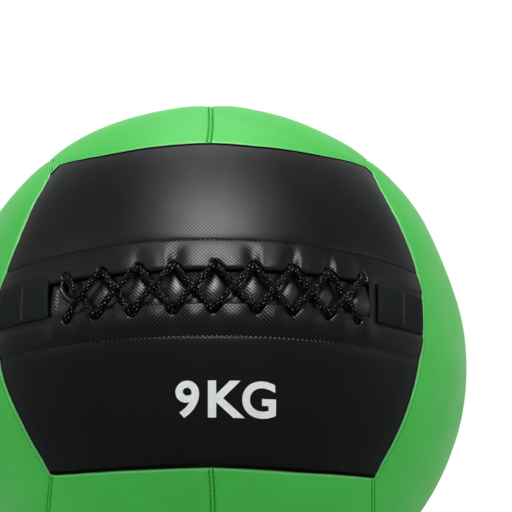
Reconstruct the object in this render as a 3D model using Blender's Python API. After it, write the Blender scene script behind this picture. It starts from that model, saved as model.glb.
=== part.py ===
"""A soft wall ball: twelve sewn vinyl panels over a stuffed liner, with a laced slit at the front.

The ball is built in its own frame, with the slit level at the front (-Y) and +Z up, and is then
rolled back a little and stood on the flat that its weight presses into it. Lengths are in metres.
"""

import math

import bmesh
import bpy
from mathutils import Vector

# The ball and how it lies
BALL_RADIUS = 0.175
ROLL_BACK_DEG = 17.0
REST_FLAT_RADIUS = 0.040
GAP = 0.0003

# The panels: each face reaches this far from its middle on its short side, and the rest of a
# quarter turn on its long side
SHORT_HALF_DEG = 38.2
SKIN = 0.0012
SEAM_GAP = 0.0004
SEAM_ALLOWANCE = 0.005
SEAM_DIP = 0.0008
SEAM_DIP_REACH = 0.020
FINE_PITCH = 0.0175

# The slit and its lace
SLOT_HALF_LENGTH = 0.1055
SLOT_HALF_HEIGHT = 0.0116
SLIT_SAG = 0.0023
LACE_RADIUS = 0.0021
LACE_PLAY = 0.0006
LACE_BEND_PLAY = 0.0003
LACE_LEAD = 0.001
CROSSING_PLAY = 0.0007
LACE_TAIL = 0.006
END_BEND = 0.004
HOLE_COUNT = 9
HOLE_EDGE = 0.004
HOLE_END = 0.0071
HOLE_OVERRUN = 0.004

# The pieces behind and over the slit
FACING = 0.0008
FACING_WIDTH = 0.025
TONGUE = 0.001
TONGUE_OVERLAP = 0.0165
TONGUE_END = 0.020
TONGUE_PITCH = 0.013
TAB_WIDTH = 0.0254
TAB_LAYER = 0.0015
TAB_SETBACK = 0.0055

# The liner and the stuffing
LINER = 0.001
LINER_PLAY = 0.0005
FILLING_SLIT_HALF_LENGTH = 0.075
FILLING_SLIT_HALF_HEIGHT = 0.012

# The weight at the core
BAG_RADIUS = 0.070
BAG_CLOTH = 0.0012
NECK_RADIUS = 0.012
NECK_LENGTH = 0.018
TIE_RADIUS = 0.0015
SAND_TOP = 0.048

# Counts
SLIT_COLUMNS = 4
TURN_COLUMNS = 22
BAG_RINGS = 4
LINER_RINGS = 6
TIE_SIDES = 6
HOLE_SIDES = 12
LACE_SIDES_RESOLUTION = 2

# Where a panel's rows lie between the slit's end and the seam, and half way in what is left
NEAR_SEAM_SHARES = (0.55, 0.84)
HALF_SHARE = 0.5

CORNER = 1 / math.sqrt(3)
SHORT_REACH = math.sin(math.radians(SHORT_HALF_DEG))
LONG_HALF = math.radians(90 - SHORT_HALF_DEG)
LONG_ARC = BALL_RADIUS * LONG_HALF
SHORT_ARC = BALL_RADIUS * math.radians(SHORT_HALF_DEG)
FLOOR_DISTANCE = math.sqrt(BALL_RADIUS**2 - REST_FLAT_RADIUS**2)
ROLL = math.radians(ROLL_BACK_DEG)
DOWN = Vector((0, math.sin(ROLL), -math.cos(ROLL)))

HOLE_ACROSS = SLOT_HALF_HEIGHT + HOLE_EDGE
HOLE_PITCH = 2 * (SLOT_HALF_LENGTH - HOLE_END) / (HOLE_COUNT - 1)
HOLE_RADIUS = LACE_RADIUS + LACE_PLAY
LACE_BEND = LACE_RADIUS + LACE_BEND_PLAY
TAB_START = SLOT_HALF_LENGTH + TAB_SETBACK

# Depths below the ball's surface, from the flaps inwards
FLAP_DEPTH = SKIN + GAP + FACING
LACE_LOW = FLAP_DEPTH + LACE_PLAY + LACE_RADIUS
LACE_HIGH = LACE_PLAY + LACE_RADIUS
TONGUE_DEPTH = LACE_LOW + LACE_RADIUS + LACE_PLAY
ALLOWANCE_DEPTH = SKIN + SEAM_ALLOWANCE
LINER_DEPTH = max(TONGUE_DEPTH + TONGUE, SEAM_DIP + ALLOWANCE_DEPTH) + GAP + LINER_PLAY
FIBRE_DEPTH = LINER_DEPTH + LINER + GAP
LINER_RADIUS = BALL_RADIUS - LINER_DEPTH

# How far the panels' side edges are drawn in beside the slit, to let the webbing down
TAB_RECESS = TAB_LAYER + GAP
TAB_RECESS /= 1 - max(0, TAB_WIDTH / 2 - SLOT_HALF_HEIGHT) / FACING_WIDTH

# Shares of a panel's width and height at which its rows and columns lie
SLOT_ROW = SLOT_HALF_HEIGHT / SHORT_ARC
HEM_ROW = (SLOT_HALF_HEIGHT + FACING_WIDTH) / SHORT_ARC
SLOT_COLUMN = SLOT_HALF_LENGTH / LONG_ARC
SHARES = (
    0,
    SLOT_ROW,
    HEM_ROW,
    HEM_ROW + HALF_SHARE * (SLOT_COLUMN - HEM_ROW),
    SLOT_COLUMN,
    *(SLOT_COLUMN + share * (1 - SLOT_COLUMN) for share in NEAR_SEAM_SHARES),
    1,
)

# Each face's outward, long and short directions, and the names of its two halves
FACES = {
    "front": (Vector((0, -1, 0)), Vector((1, 0, 0)), Vector((0, 0, 1)), ("upper", "lower")),
    "back": (Vector((0, 1, 0)), Vector((-1, 0, 0)), Vector((0, 0, 1)), ("upper", "lower")),
    "left": (Vector((-1, 0, 0)), Vector((0, 0, 1)), Vector((0, 1, 0)), ("back", "front")),
    "right": (Vector((1, 0, 0)), Vector((0, 0, 1)), Vector((0, 1, 0)), ("back", "front")),
    "top": (Vector((0, 0, 1)), Vector((0, 1, 0)), Vector((1, 0, 0)), ("right", "left")),
    "bottom": (Vector((0, 0, -1)), Vector((0, 1, 0)), Vector((1, 0, 0)), ("right", "left")),
}
BLACK_FACES = ("front", "back")
FINE_FACES = ("front", "bottom")


def clear_scene():
    for old in list(bpy.data.objects):
        bpy.data.objects.remove(old, do_unlink=True)


def material(name, colour, roughness):
    made = bpy.data.materials.new(name)
    made.use_nodes = True
    shader = made.node_tree.nodes["Principled BSDF"]
    shader.inputs["Base Color"].default_value = (*colour, 1)
    shader.inputs["Roughness"].default_value = roughness
    shader.inputs["Metallic"].default_value = 0
    return made


def finish(name, mesh, look, ball):
    """An object of this mesh, closed, facing out, smooth and carried by the ball's empty."""
    build = bmesh.new()
    build.from_mesh(mesh)
    bmesh.ops.recalc_face_normals(build, faces=build.faces)
    build.to_mesh(mesh)
    build.free()
    mesh.shade_smooth()
    mesh.set_sharp_from_angle(angle=math.radians(40))
    mesh.materials.append(look)
    made = bpy.data.objects.new(name, mesh)
    bpy.context.scene.collection.objects.link(made)
    made.parent = ball
    return made


class Solid:
    """Collects points and faces by key, and drops the corners that two keys share."""

    def __init__(self):
        self.points, self.index, self.faces = [], {}, []

    def add(self, key, point):
        self.index[key] = len(self.points)
        self.points.append(point)

    def alias(self, key, other):
        self.index[key] = self.index[other]

    def face(self, *keys):
        corners = list(dict.fromkeys(self.index[key] for key in keys))
        if len(corners) > 2:
            self.faces.append(corners)

    def mesh(self, name):
        made = bpy.data.meshes.new(name)
        made.from_pydata(self.points, [], self.faces)
        made.validate()
        return made


def settle(point, depth):
    """Lays what would reach through the rest flat on it, this far inside the outer surface."""
    over = point.dot(DOWN) - (FLOOR_DISTANCE - depth)
    return point - DOWN * over if over > 0 else point


# The layout of the seams on a unit sphere


def seam_reach(share):
    """How far out a seam lies from the middle plane of the face that it caps."""
    return SHORT_REACH - (SHORT_REACH - CORNER) * abs(share) ** 3


def long_seam(face, half, share):
    out, along, across, _ = FACES[face]
    a, b = CORNER * share, seam_reach(share)
    return along * a + across * half * b + out * math.sqrt(1 - a * a - b * b)


def short_seam(face, half, side, share):
    out, along, across, _ = FACES[face]
    a, b = CORNER * share, seam_reach(share)
    return across * half * a + out * b + along * side * math.sqrt(1 - a * a - b * b)


def middle_seam(face, share):
    out, along, across, _ = FACES[face]
    angle = share * LONG_HALF
    sag = SLIT_SAG / BALL_RADIUS * (1 - share * share) if face == "front" else 0
    return (along * math.sin(angle) + out * math.cos(angle) - across * sag).normalized()


def direction(face, half, u, v):
    """The unit direction of a panel's point: u runs from -1 to 1 along it, v from 0 to 1 across."""
    w = (u + 1) / 2
    low, high = middle_seam(face, u), long_seam(face, half, u)
    left, right = short_seam(face, half, -1, v), short_seam(face, half, 1, v)
    corners = (
        middle_seam(face, -1) * (1 - w) * (1 - v)
        + middle_seam(face, 1) * w * (1 - v)
        + long_seam(face, half, -1) * (1 - w) * v
        + long_seam(face, half, 1) * w * v
    )
    return (low * (1 - v) + high * v + left * (1 - w) + right * w - corners).normalized()


def near_seam(distance):
    return max(0, 1 - distance / SEAM_DIP_REACH) ** 2


def surface(face, half, u, v, depth):
    """A point this far below a panel's outer surface, which is drawn in beside its seams."""
    flat = 1 - near_seam((1 - abs(u)) * LONG_ARC)
    flat *= 1 - near_seam((1 - v) * SHORT_ARC)
    if face != "front":
        flat *= 1 - near_seam(v * SHORT_ARC)
    return direction(face, half, u, v) * (BALL_RADIUS - SEAM_DIP * (1 - flat) - depth)


def inward(face, half, u, v):
    """Moves a seam point a unit away from every seam that it lies on."""
    step = min(SHARES[1], 1 - SHARES[-2]) * HALF_SHARE
    here = direction(face, half, u, v)
    ways = []
    for on_seam, along, inside in (
        (abs(u) == 1, (0, step if v < 1 else -step), (-math.copysign(step, u), 0)),
        (v == 1, (step if u < 1 else -step, 0), (0, -step)),
        (v == 0, (step if u < 1 else -step, 0), (0, step)),
    ):
        if on_seam:
            tangent = direction(face, half, u + along[0], v + along[1]) - here
            inner = direction(face, half, u + inside[0], v + inside[1]) - here
            way = here.cross(tangent).normalized()
            ways.append(way if way.dot(inner) > 0 else -way)
    if len(ways) == 2:
        return (ways[0] + ways[1]) / (1 + ways[0].dot(ways[1]))
    return ways[0] if ways else Vector((0, 0, 0))


# The panels


def mirrored(shares):
    return [-share for share in reversed(shares[1:])] + list(shares)


def fine_columns():
    """The columns with more between them, for the laced flaps and for what lies on the floor."""
    found = []
    for low, high in zip(SHARES, SHARES[1:]):
        parts = math.ceil((high - low) * LONG_ARC / FINE_PITCH)
        found += [low + (high - low) * part / parts for part in range(parts)]
    return mirrored(found + [1])


def panel(name, face, half, look, ball):
    """One sheet of vinyl with its seam allowance turned in all round, but not along the slot."""
    laced = face == "front"
    coarse = mirrored(SHARES)
    columns = fine_columns() if face in FINE_FACES else coarse
    rows = list(SHARES)
    solid = Solid()

    def cut_away(i, j):
        middle = abs(columns[i] + columns[i + 1]) / 2
        return laced and j == 0 and middle < SLOT_COLUMN

    def on_slot(i, j):
        return laced and j < 2 and abs(columns[i]) <= SLOT_COLUMN

    def place(u, v, depth, inset):
        offset = SEAM_GAP / 2 + inset
        if laced and abs(u) == 1 and v <= SLOT_ROW:
            offset += TAB_RECESS
        point = surface(face, half, u, v, depth) + inward(face, half, u, v) * offset
        return settle(point, depth)

    def seam_place(u, v, depth, inset):
        """The finer columns lie on the chords of the coarse ones, to match the next panel."""
        if v < 1 or u in coarse:
            return place(u, v, depth, inset)
        low = max(share for share in coarse if share < u)
        high = min(share for share in coarse if share > u)
        start, end = place(low, v, depth, inset), place(high, v, depth, inset)
        return start.lerp(end, (u - low) / (high - low))

    cells = [
        (i, j)
        for i in range(len(columns) - 1)
        for j in range(len(rows) - 1)
        if not cut_away(i, j)
    ]
    used = sorted({(i + a, j + b) for i, j in cells for a in (0, 1) for b in (0, 1)})
    edges = {}
    for i, j in cells:
        ring = [(i, j), (i + 1, j), (i + 1, j + 1), (i, j + 1)]
        for start, end in zip(ring, ring[1:] + ring[:1]):
            key = frozenset((start, end))
            edges[key] = None if key in edges else (start, end)
    rim = [edge for edge in edges.values() if edge]
    rim_points = {point for edge in rim for point in edge}

    for i, j in used:
        u, v, spot = columns[i], rows[j], (i, j)
        turned_in = spot in rim_points and not on_slot(i, j)
        solid.add(("outer", spot), seam_place(u, v, 0, 0))
        solid.add(("inner", spot), seam_place(u, v, SKIN, SKIN if turned_in else 0))
        if turned_in:
            solid.add(("edge", spot), seam_place(u, v, ALLOWANCE_DEPTH, 0))
            solid.add(("back", spot), seam_place(u, v, ALLOWANCE_DEPTH, SKIN))
        else:
            solid.alias(("edge", spot), ("inner", spot))
            solid.alias(("back", spot), ("inner", spot))
    for i, j in cells:
        ring = [(i, j), (i + 1, j), (i + 1, j + 1), (i, j + 1)]
        solid.face(*(("outer", spot) for spot in ring))
        solid.face(*(("inner", spot) for spot in reversed(ring)))
    for start, end in rim:
        for first, second in (("outer", "edge"), ("edge", "back"), ("back", "inner")):
            solid.face((first, end), (first, start), (second, start), (second, end))
    return finish(name, solid.mesh(name), look, ball)


# Places over and under the slit, from its middle line


def slit_point(along, across, height):
    """A point this far along and across the slit, and this high above the ball's surface."""
    half = 1 if across >= 0 else -1
    share = abs(across) / SHORT_ARC
    return surface("front", half, along / LONG_ARC, share, -height)


def hole_along(index):
    return (index - (HOLE_COUNT - 1) / 2) * HOLE_PITCH


def sheet(name, stations, look, ball):
    """A closed sheet from rows of (outer point, inner point) pairs."""
    solid = Solid()
    for j, row in enumerate(stations):
        for i, (outer, inner) in enumerate(row):
            solid.add(("outer", i, j), outer)
            solid.add(("inner", i, j), inner)
    wide, tall = len(stations[0]) - 1, len(stations) - 1
    for i in range(wide):
        for j in range(tall):
            ring = [(i, j), (i + 1, j), (i + 1, j + 1), (i, j + 1)]
            solid.face(*(("outer", *spot) for spot in ring))
            solid.face(*(("inner", *spot) for spot in reversed(ring)))
    rim = [((i, 0), (i + 1, 0)) for i in range(wide)]
    rim += [((wide, j), (wide, j + 1)) for j in range(tall)]
    rim += [((i + 1, tall), (i, tall)) for i in range(wide)]
    rim += [((0, j + 1), (0, j)) for j in range(tall)]
    for start, end in rim:
        solid.face(("outer", *end), ("outer", *start), ("inner", *start), ("inner", *end))
    return finish(name, solid.mesh(name), look, ball)


def facing(name, half, look, ball):
    """The doubling behind a flap, from the slot's edge to the long stitch line."""
    columns = [u for u in fine_columns() if abs(u) <= SHARES[-2]]
    stations = [
        [
            (
                surface("front", half, u, v, SKIN + GAP),
                surface("front", half, u, v, FLAP_DEPTH),
            )
            for u in columns
        ]
        for v in (SLOT_ROW, HEM_ROW)
    ]
    return sheet(name, stations, look, ball)


def evenly(reach, pitch):
    count = math.ceil(2 * reach / pitch)
    return [-reach + 2 * reach * step / count for step in range(count + 1)]


def tongue(look, ball):
    half_length = SLOT_HALF_LENGTH + TONGUE_END
    half_height = SLOT_HALF_HEIGHT + TONGUE_OVERLAP
    stations = [
        [
            (
                slit_point(along, across, -TONGUE_DEPTH),
                slit_point(along, across, -TONGUE_DEPTH - TONGUE),
            )
            for along in evenly(half_length, TONGUE_PITCH)
        ]
        for across in evenly(half_height, TONGUE_PITCH)
    ]
    return sheet("slit_tongue", stations, look, ball)


def webbing_tab(name, side, look, ball):
    """Folded webbing over one end of the slit, turned down into the side seam."""
    seam = LONG_ARC - SEAM_GAP / 2
    inner_leg = seam - TAB_LAYER
    columns = [u * LONG_ARC for u in fine_columns() if TAB_START < u * LONG_ARC < inner_leg]
    low, high = GAP, GAP + 2 * TAB_LAYER
    over = [(along, high) for along in (TAB_START, *columns, inner_leg, seam)]
    leg = [(seam, -ALLOWANCE_DEPTH), (inner_leg, -ALLOWANCE_DEPTH)]
    under = [(along, low) for along in (inner_leg, *reversed(columns), TAB_START)]
    outline = over + leg + under
    solid = Solid()
    stations = (-TAB_WIDTH / 2, 0, TAB_WIDTH / 2)
    for j, across in enumerate(stations):
        for i, (along, height) in enumerate(outline):
            solid.add((i, j), slit_point(side * along, across, height))
    count = len(outline)
    for i in range(count):
        for j in range(len(stations) - 1):
            after = (i + 1) % count
            solid.face((i, j), (after, j), (after, j + 1), (i, j + 1))
    for j in (0, len(stations) - 1):
        for i in range(len(columns) + 1):
            mate = count - 1 - i
            solid.face((i, j), (i + 1, j), (mate - 1, j), (mate, j))
        turn = over.index((inner_leg, high))
        solid.face(*((i, j) for i in range(turn, len(over + leg) + 1)))
    return finish(name, solid.mesh(name), look, ball)


def punch_holes(targets, ball):
    """Cuts both rows of lace holes through the flaps and the facings behind them."""
    build = bmesh.new()
    for half in (1, -1):
        for index in range(HOLE_COUNT):
            along, across = hole_along(index), half * HOLE_ACROSS
            top = slit_point(along, across, HOLE_OVERRUN)
            low = slit_point(along, across, -FLAP_DEPTH - HOLE_OVERRUN)
            axis = top - low
            made = bmesh.ops.create_cone(
                build,
                cap_ends=True,
                segments=HOLE_SIDES,
                radius1=HOLE_RADIUS,
                radius2=HOLE_RADIUS,
                depth=axis.length,
            )
            turn = Vector((0, 0, 1)).rotation_difference(axis).to_matrix().to_4x4()
            turn.translation = (top + low) / 2
            bmesh.ops.transform(build, matrix=turn, verts=made["verts"])
    mesh = bpy.data.meshes.new("hole_punch")
    build.to_mesh(mesh)
    build.free()
    punch = bpy.data.objects.new("hole_punch", mesh)
    bpy.context.scene.collection.objects.link(punch)
    punch.parent = ball
    punch.hide_render = True
    punch.display_type = "WIRE"
    for target in targets:
        cut = target.modifiers.new("lace_holes", "BOOLEAN")
        cut.operation = "DIFFERENCE"
        cut.object = punch


# The lace: two ends of one cord, which cross over the slot and dive into every hole in turn


def bend(hole, way, height, sense):
    """From level to upright, or back: three points of a quarter turn beside a hole."""
    along, across = hole
    turn = LACE_BEND * (1 - math.sin(math.pi / 4))
    level = (along + way[0] * LACE_BEND, across + way[1] * LACE_BEND, height)
    slant = (along + way[0] * turn, across + way[1] * turn, height - sense * turn)
    upright = (along, across, height - sense * LACE_BEND)
    return [level, slant, upright]


def heading(start, end):
    length = math.hypot(end[0] - start[0], end[1] - start[1])
    return ((end[0] - start[0]) / length, (end[1] - start[1]) / length)


def strand(start, end, leave, on_top):
    """The free run between two holes, above or below the other strand at the crossing."""
    middle = (LACE_HIGH - LACE_LOW) / 2
    offset = LACE_RADIUS + CROSSING_PLAY
    crossing = middle + offset if on_top else middle - offset
    edge = (SLOT_HALF_HEIGHT - LACE_LEAD) / HOLE_ACROSS
    points = []
    for reach, height in ((-edge, leave), (0, crossing), (edge, LACE_HIGH)):
        share = (reach + 1) / 2
        along = start[0] + (end[0] - start[0]) * share
        points.append((along, start[1] + (end[1] - start[1]) * share, height))
    return points


def lace_end(half):
    """One end's route, from where it comes up at the left to its tail under the right flaps."""
    hole = (hole_along(0), half * HOLE_ACROSS)
    route = []
    for index in range(1, HOLE_COUNT):
        after = (hole_along(index), -hole[1])
        way = heading(hole, after)
        back = (-way[0], -way[1])
        leave, sense = (LACE_HIGH, 1) if index == 1 else (-LACE_LOW, -1)
        route += reversed(bend(hole, way, leave, sense))
        route += strand(hole, after, leave, hole[1] < 0)
        route += bend(after, back, LACE_HIGH, 1)
        hole = after
    route += reversed(bend(hole, (1, 0), -LACE_LOW, -1))
    route.append((hole[0] + LACE_BEND + LACE_TAIL, hole[1], -LACE_LOW))
    return route


def lace_link():
    """From the first upper hole to the first lower one, under the flaps past the slot's end."""
    behind = -SLOT_HALF_LENGTH - LACE_RADIUS - LACE_PLAY
    turn = END_BEND * (1 - math.sin(math.pi / 4))
    slant = (behind + turn, HOLE_ACROSS - turn, -LACE_LOW)
    corner = (behind, HOLE_ACROSS - END_BEND, -LACE_LOW)
    hole = (hole_along(0), HOLE_ACROSS)
    upper = bend(hole, (-1, 0), -LACE_LOW, -1)[::-1] + [slant, corner]
    return upper + [(along, -across, height) for along, across, height in reversed(upper)]


def least_gap(centres, radius):
    """The least space between runs of a tube that lie further apart along it than round a bend."""
    steps = [0]
    for before, after in zip(centres, centres[1:]):
        steps.append(steps[-1] + (after - before).length)
    apart = HOLE_PITCH / 2
    return min(
        (centres[i] - centres[j]).length
        for i in range(len(centres))
        for j in range(i)
        if steps[i] - steps[j] > apart
    ) - 2 * radius


def lace(look, ball):
    route = lace_end(1)[::-1] + lace_link() + lace_end(-1)
    centres = [slit_point(*place) for place in route]
    print(f"least gap of the lace to itself: {least_gap(centres, LACE_RADIUS) * 1000:.2f} mm")
    curve = bpy.data.curves.new("slit_lace", "CURVE")
    curve.dimensions = "3D"
    curve.bevel_depth = LACE_RADIUS
    curve.bevel_resolution = LACE_SIDES_RESOLUTION
    curve.use_fill_caps = True
    spline = curve.splines.new("POLY")
    spline.points.add(len(centres) - 1)
    for point, centre in zip(spline.points, centres):
        point.co = (*centre, 1)
    spline.use_smooth = True
    curve.materials.append(look)
    made = bpy.data.objects.new("slit_lace", curve)
    bpy.context.scene.collection.objects.link(made)
    made.parent = ball
    return made


# What is turned about the ball's upright axis


def turn_angles():
    """The columns' angles from the front, which start with those of the filling slit."""
    reach = FILLING_SLIT_HALF_LENGTH / LINER_RADIUS
    rest = TURN_COLUMNS - SLIT_COLUMNS
    over = [2 * reach * column / SLIT_COLUMNS - reach for column in range(SLIT_COLUMNS)]
    beside = [reach + 2 * (math.pi - reach) * column / rest for column in range(rest)]
    return over + beside


def turned_place(radius, height, angle, depth=None):
    point = Vector((radius * math.sin(angle), -radius * math.cos(angle), height))
    return point if depth is None else settle(point, depth)


def turned(name, profile, look, ball, depth=None):
    """Turns a closed outline of radii and heights about the upright axis."""
    solid = Solid()
    for i, (radius, height) in enumerate(profile):
        for column, angle in enumerate(turn_angles()):
            if radius == 0 and column:
                solid.alias((i, column), (i, 0))
            else:
                solid.add((i, column), turned_place(radius, height, angle, depth))
    for i in range(len(profile)):
        after = (i + 1) % len(profile)
        for column in range(TURN_COLUMNS):
            beside = (column + 1) % TURN_COLUMNS
            solid.face((i, column), (i, beside), (after, beside), (after, column))
    return finish(name, solid.mesh(name), look, ball)


def arc(radius, angles):
    """Points of an outline on a circle round the ball's middle, by their latitude."""
    return [
        (
            0 if abs(angle) == 90 else radius * math.cos(math.radians(angle)),
            radius * math.sin(math.radians(angle)),
        )
        for angle in angles
    ]


def liner_angles():
    lip = math.degrees(FILLING_SLIT_HALF_HEIGHT / LINER_RADIUS)
    return [0, *(lip + (90 - lip) * step / LINER_RINGS for step in range(LINER_RINGS + 1))]


def bag_angles():
    return [90 * ring / BAG_RINGS for ring in range(BAG_RINGS + 1)]


def inner_liner(look, ball):
    """A cloth bag in the shape of the ball, open at the filling slit under the tongue."""
    angles = mirrored(liner_angles())
    solid = Solid()
    for layer, depth in (("outer", LINER_DEPTH), ("inner", LINER_DEPTH + LINER)):
        for j, (radius, height) in enumerate(arc(BALL_RADIUS - depth, angles)):
            for i, angle in enumerate(turn_angles()):
                if radius == 0 and i:
                    solid.alias((layer, i, j), (layer, 0, j))
                else:
                    solid.add((layer, i, j), turned_place(radius, height, angle, depth))
    middle = angles.index(0)
    edges = {}
    for i in range(TURN_COLUMNS):
        for j in range(len(angles) - 1):
            beside = (i + 1) % TURN_COLUMNS
            ring = [(i, j), (beside, j), (beside, j + 1), (i, j + 1)]
            if i < SLIT_COLUMNS and j in (middle - 1, middle):
                for start, end in zip(ring, ring[1:] + ring[:1]):
                    key = frozenset((start, end))
                    edges[key] = None if key in edges else (start, end)
                continue
            solid.face(*(("outer", *spot) for spot in ring))
            solid.face(*(("inner", *spot) for spot in reversed(ring)))
    for start, end in filter(None, edges.values()):
        solid.face(("outer", *start), ("outer", *end), ("inner", *end), ("inner", *start))
    return finish("inner_liner", solid.mesh("inner_liner"), look, ball)


def neck_latitude(radius, neck):
    return math.degrees(math.acos(neck / radius))


def stuffing(look, ball):
    """Two halves of packed fibre, hollow where the weight bag and its neck lie."""
    outside = BALL_RADIUS - FIBRE_DEPTH
    hollow = BAG_RADIUS + GAP
    bore = NECK_RADIUS + 2 * (TIE_RADIUS + GAP)
    bore_top = BAG_RADIUS + NECK_LENGTH + GAP
    sloping = [angle for angle in bag_angles() if angle < neck_latitude(hollow, bore)]
    cavity = [(0, bore_top), (bore, bore_top), (bore, math.sqrt(hollow**2 - bore**2))]
    upper = arc(outside, liner_angles()) + cavity + arc(hollow, sloping)[::-1]
    raised = [(radius, max(height, GAP / 2)) for radius, height in upper]
    turned("fibre_upper", raised, look, ball, FIBRE_DEPTH)
    lower = arc(outside, liner_angles()) + arc(hollow, bag_angles())[::-1]
    lowered = [(radius, min(-height, -GAP / 2)) for radius, height in lower]
    turned("fibre_lower", lowered, look, ball, FIBRE_DEPTH)


def filled_to(outline, top):
    """The outline up to a height, closed level from the run that crosses it."""
    kept = [point for point in outline if point[1] < top]
    (low_radius, low), (high_radius, high) = outline[len(kept) - 1 : len(kept) + 1]
    share = (top - low) / (high - low)
    return kept + [(low_radius + (high_radius - low_radius) * share, top), (0, top)]


def weight_core(cloth, sand, cord, ball):
    """The canvas bag, the sand in it and the cord tied round its neck."""

    def shell(radius, neck):
        angles = mirrored(bag_angles())
        sloping = [angle for angle in angles if angle < neck_latitude(radius, neck)]
        return arc(radius, sloping) + [(neck, math.sqrt(radius**2 - neck**2))]

    neck_top = BAG_RADIUS + NECK_LENGTH
    inside = BAG_RADIUS - BAG_CLOTH
    inner_neck = NECK_RADIUS - BAG_CLOTH
    outline = shell(BAG_RADIUS, NECK_RADIUS) + [(NECK_RADIUS, neck_top)]
    outline += [(inner_neck, neck_top)] + shell(inside, inner_neck)[::-1]
    turned("weight_bag", outline, cloth, ball)
    heap = filled_to(shell(inside - GAP, inner_neck), SAND_TOP)
    turned("iron_sand", heap, sand, ball)

    ring = NECK_RADIUS + GAP + TIE_RADIUS
    height = BAG_RADIUS + NECK_LENGTH / 2
    sides = [2 * math.pi * side / TIE_SIDES for side in range(TIE_SIDES)]
    loop = [
        (ring + TIE_RADIUS * math.cos(side), height + TIE_RADIUS * math.sin(side))
        for side in sides
    ]
    turned("bag_tie", loop, cord, ball)


def main():
    clear_scene()
    ball = bpy.data.objects.new("ball", None)
    bpy.context.scene.collection.objects.link(ball)
    ball.location = (0, 0, FLOOR_DISTANCE)
    ball.rotation_euler = (-ROLL, 0, 0)

    green = material("green_vinyl", (0.10, 0.52, 0.12), 0.5)
    black = material("black_vinyl", (0.018, 0.020, 0.020), 0.42)
    webbing = material("black_webbing", (0.012, 0.013, 0.013), 0.8)
    braid = material("black_braid", (0.015, 0.016, 0.016), 0.75)
    liner_cloth = material("liner_cloth", (0.60, 0.58, 0.54), 0.9)
    fibre = material("packed_fibre", (0.72, 0.70, 0.66), 0.95)
    canvas = material("bag_canvas", (0.45, 0.38, 0.27), 0.9)
    iron = material("iron_sand", (0.09, 0.08, 0.075), 0.7)

    for face, (_, _, _, halves) in FACES.items():
        look = black if face in BLACK_FACES else green
        for half, half_name in zip((1, -1), halves):
            panel(f"{face}_{half_name}_panel", face, half, look, ball)
    facings = [
        facing("upper_slit_facing", 1, black, ball),
        facing("lower_slit_facing", -1, black, ball),
    ]
    flaps = [bpy.data.objects[f"front_{half}_panel"] for half in ("upper", "lower")]
    punch_holes(flaps + facings, ball)
    tongue(black, ball)
    webbing_tab("webbing_tab_left", -1, webbing, ball)
    webbing_tab("webbing_tab_right", 1, webbing, ball)
    lace(braid, ball)
    inner_liner(liner_cloth, ball)
    stuffing(fibre, ball)
    weight_core(canvas, iron, braid, ball)


main()
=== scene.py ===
"""The looks of a soft wall ball: sewn vinyl panels, a laced slit, webbing and what lies inside.

The pieces are made in the ball's own frame, with the slit level at the front (-Y) and +Z up, and
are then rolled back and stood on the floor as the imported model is. Lengths are in metres.
"""

import math

import bmesh
import bpy
import numpy as np
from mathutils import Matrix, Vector
from mathutils.geometry import delaunay_2d_cdt


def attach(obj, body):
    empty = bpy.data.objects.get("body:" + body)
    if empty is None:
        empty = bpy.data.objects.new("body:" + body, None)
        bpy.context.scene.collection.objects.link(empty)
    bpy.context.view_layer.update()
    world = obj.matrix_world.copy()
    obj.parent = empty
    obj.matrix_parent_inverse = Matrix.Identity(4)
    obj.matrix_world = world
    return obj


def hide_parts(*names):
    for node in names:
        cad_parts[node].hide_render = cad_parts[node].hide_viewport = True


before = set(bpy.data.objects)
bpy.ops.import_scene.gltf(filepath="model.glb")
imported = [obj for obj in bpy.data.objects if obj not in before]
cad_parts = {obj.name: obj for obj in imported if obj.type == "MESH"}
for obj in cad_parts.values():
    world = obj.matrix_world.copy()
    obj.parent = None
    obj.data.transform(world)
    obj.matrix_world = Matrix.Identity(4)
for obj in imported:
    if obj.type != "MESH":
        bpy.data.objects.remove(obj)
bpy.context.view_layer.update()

MM = 0.001

# The ball and how it lies, as in the part's source
BALL_RADIUS = 0.175
ROLL = math.radians(17.0)
REST_FLAT_RADIUS = 0.040
FLOOR_DISTANCE = math.sqrt(BALL_RADIUS**2 - REST_FLAT_RADIUS**2)
SHORT_HALF_DEG = 38.2
SHORT_HALF = math.radians(SHORT_HALF_DEG)
LONG_HALF = math.radians(90 - SHORT_HALF_DEG)
SHORT_REACH = math.sin(SHORT_HALF)
CORNER = 1 / math.sqrt(3)
LONG_ARC = BALL_RADIUS * LONG_HALF
SHORT_ARC = BALL_RADIUS * SHORT_HALF
SKIN = 0.0012
SEAM_GAP = 0.0002
SEAM_DIP = 0.0008
SEAM_DIP_REACH = 0.020
GAP = 0.0003

# The slit and its lace
SLOT_HALF_LENGTH = 0.1055
SLOT_HALF_HEIGHT = 0.0116
SLIT_SAG = 0.0023
LACE_RADIUS = 0.0021
LACE_PLAY = 0.0006
LACE_BEND_PLAY = 0.0003
LACE_BEND = LACE_RADIUS + LACE_BEND_PLAY
LACE_TAIL = 0.006
END_BEND = 0.004
HOLE_COUNT = 9
HOLE_EDGE = 0.004
HOLE_ACROSS = SLOT_HALF_HEIGHT + HOLE_EDGE
HOLE_END = 0.0071
HOLE_PITCH = 2 * (SLOT_HALF_LENGTH - HOLE_END) / (HOLE_COUNT - 1)
HOLE_RADIUS = LACE_RADIUS + LACE_PLAY
FACING = 0.0008
FACING_WIDTH = 0.025
FLAP_DEPTH = SKIN + GAP + FACING
LACE_LOW = FLAP_DEPTH + LACE_PLAY + LACE_RADIUS
LACE_HIGH = LACE_PLAY + LACE_RADIUS
TONGUE = 0.001
TONGUE_OVERLAP = 0.0165
TONGUE_END = 0.020
TAB_WIDTH = 0.0254
TAB_LAYER = 0.0015
TAB_SETBACK = 0.0055
TAB_START = SLOT_HALF_LENGTH + TAB_SETBACK

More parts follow.
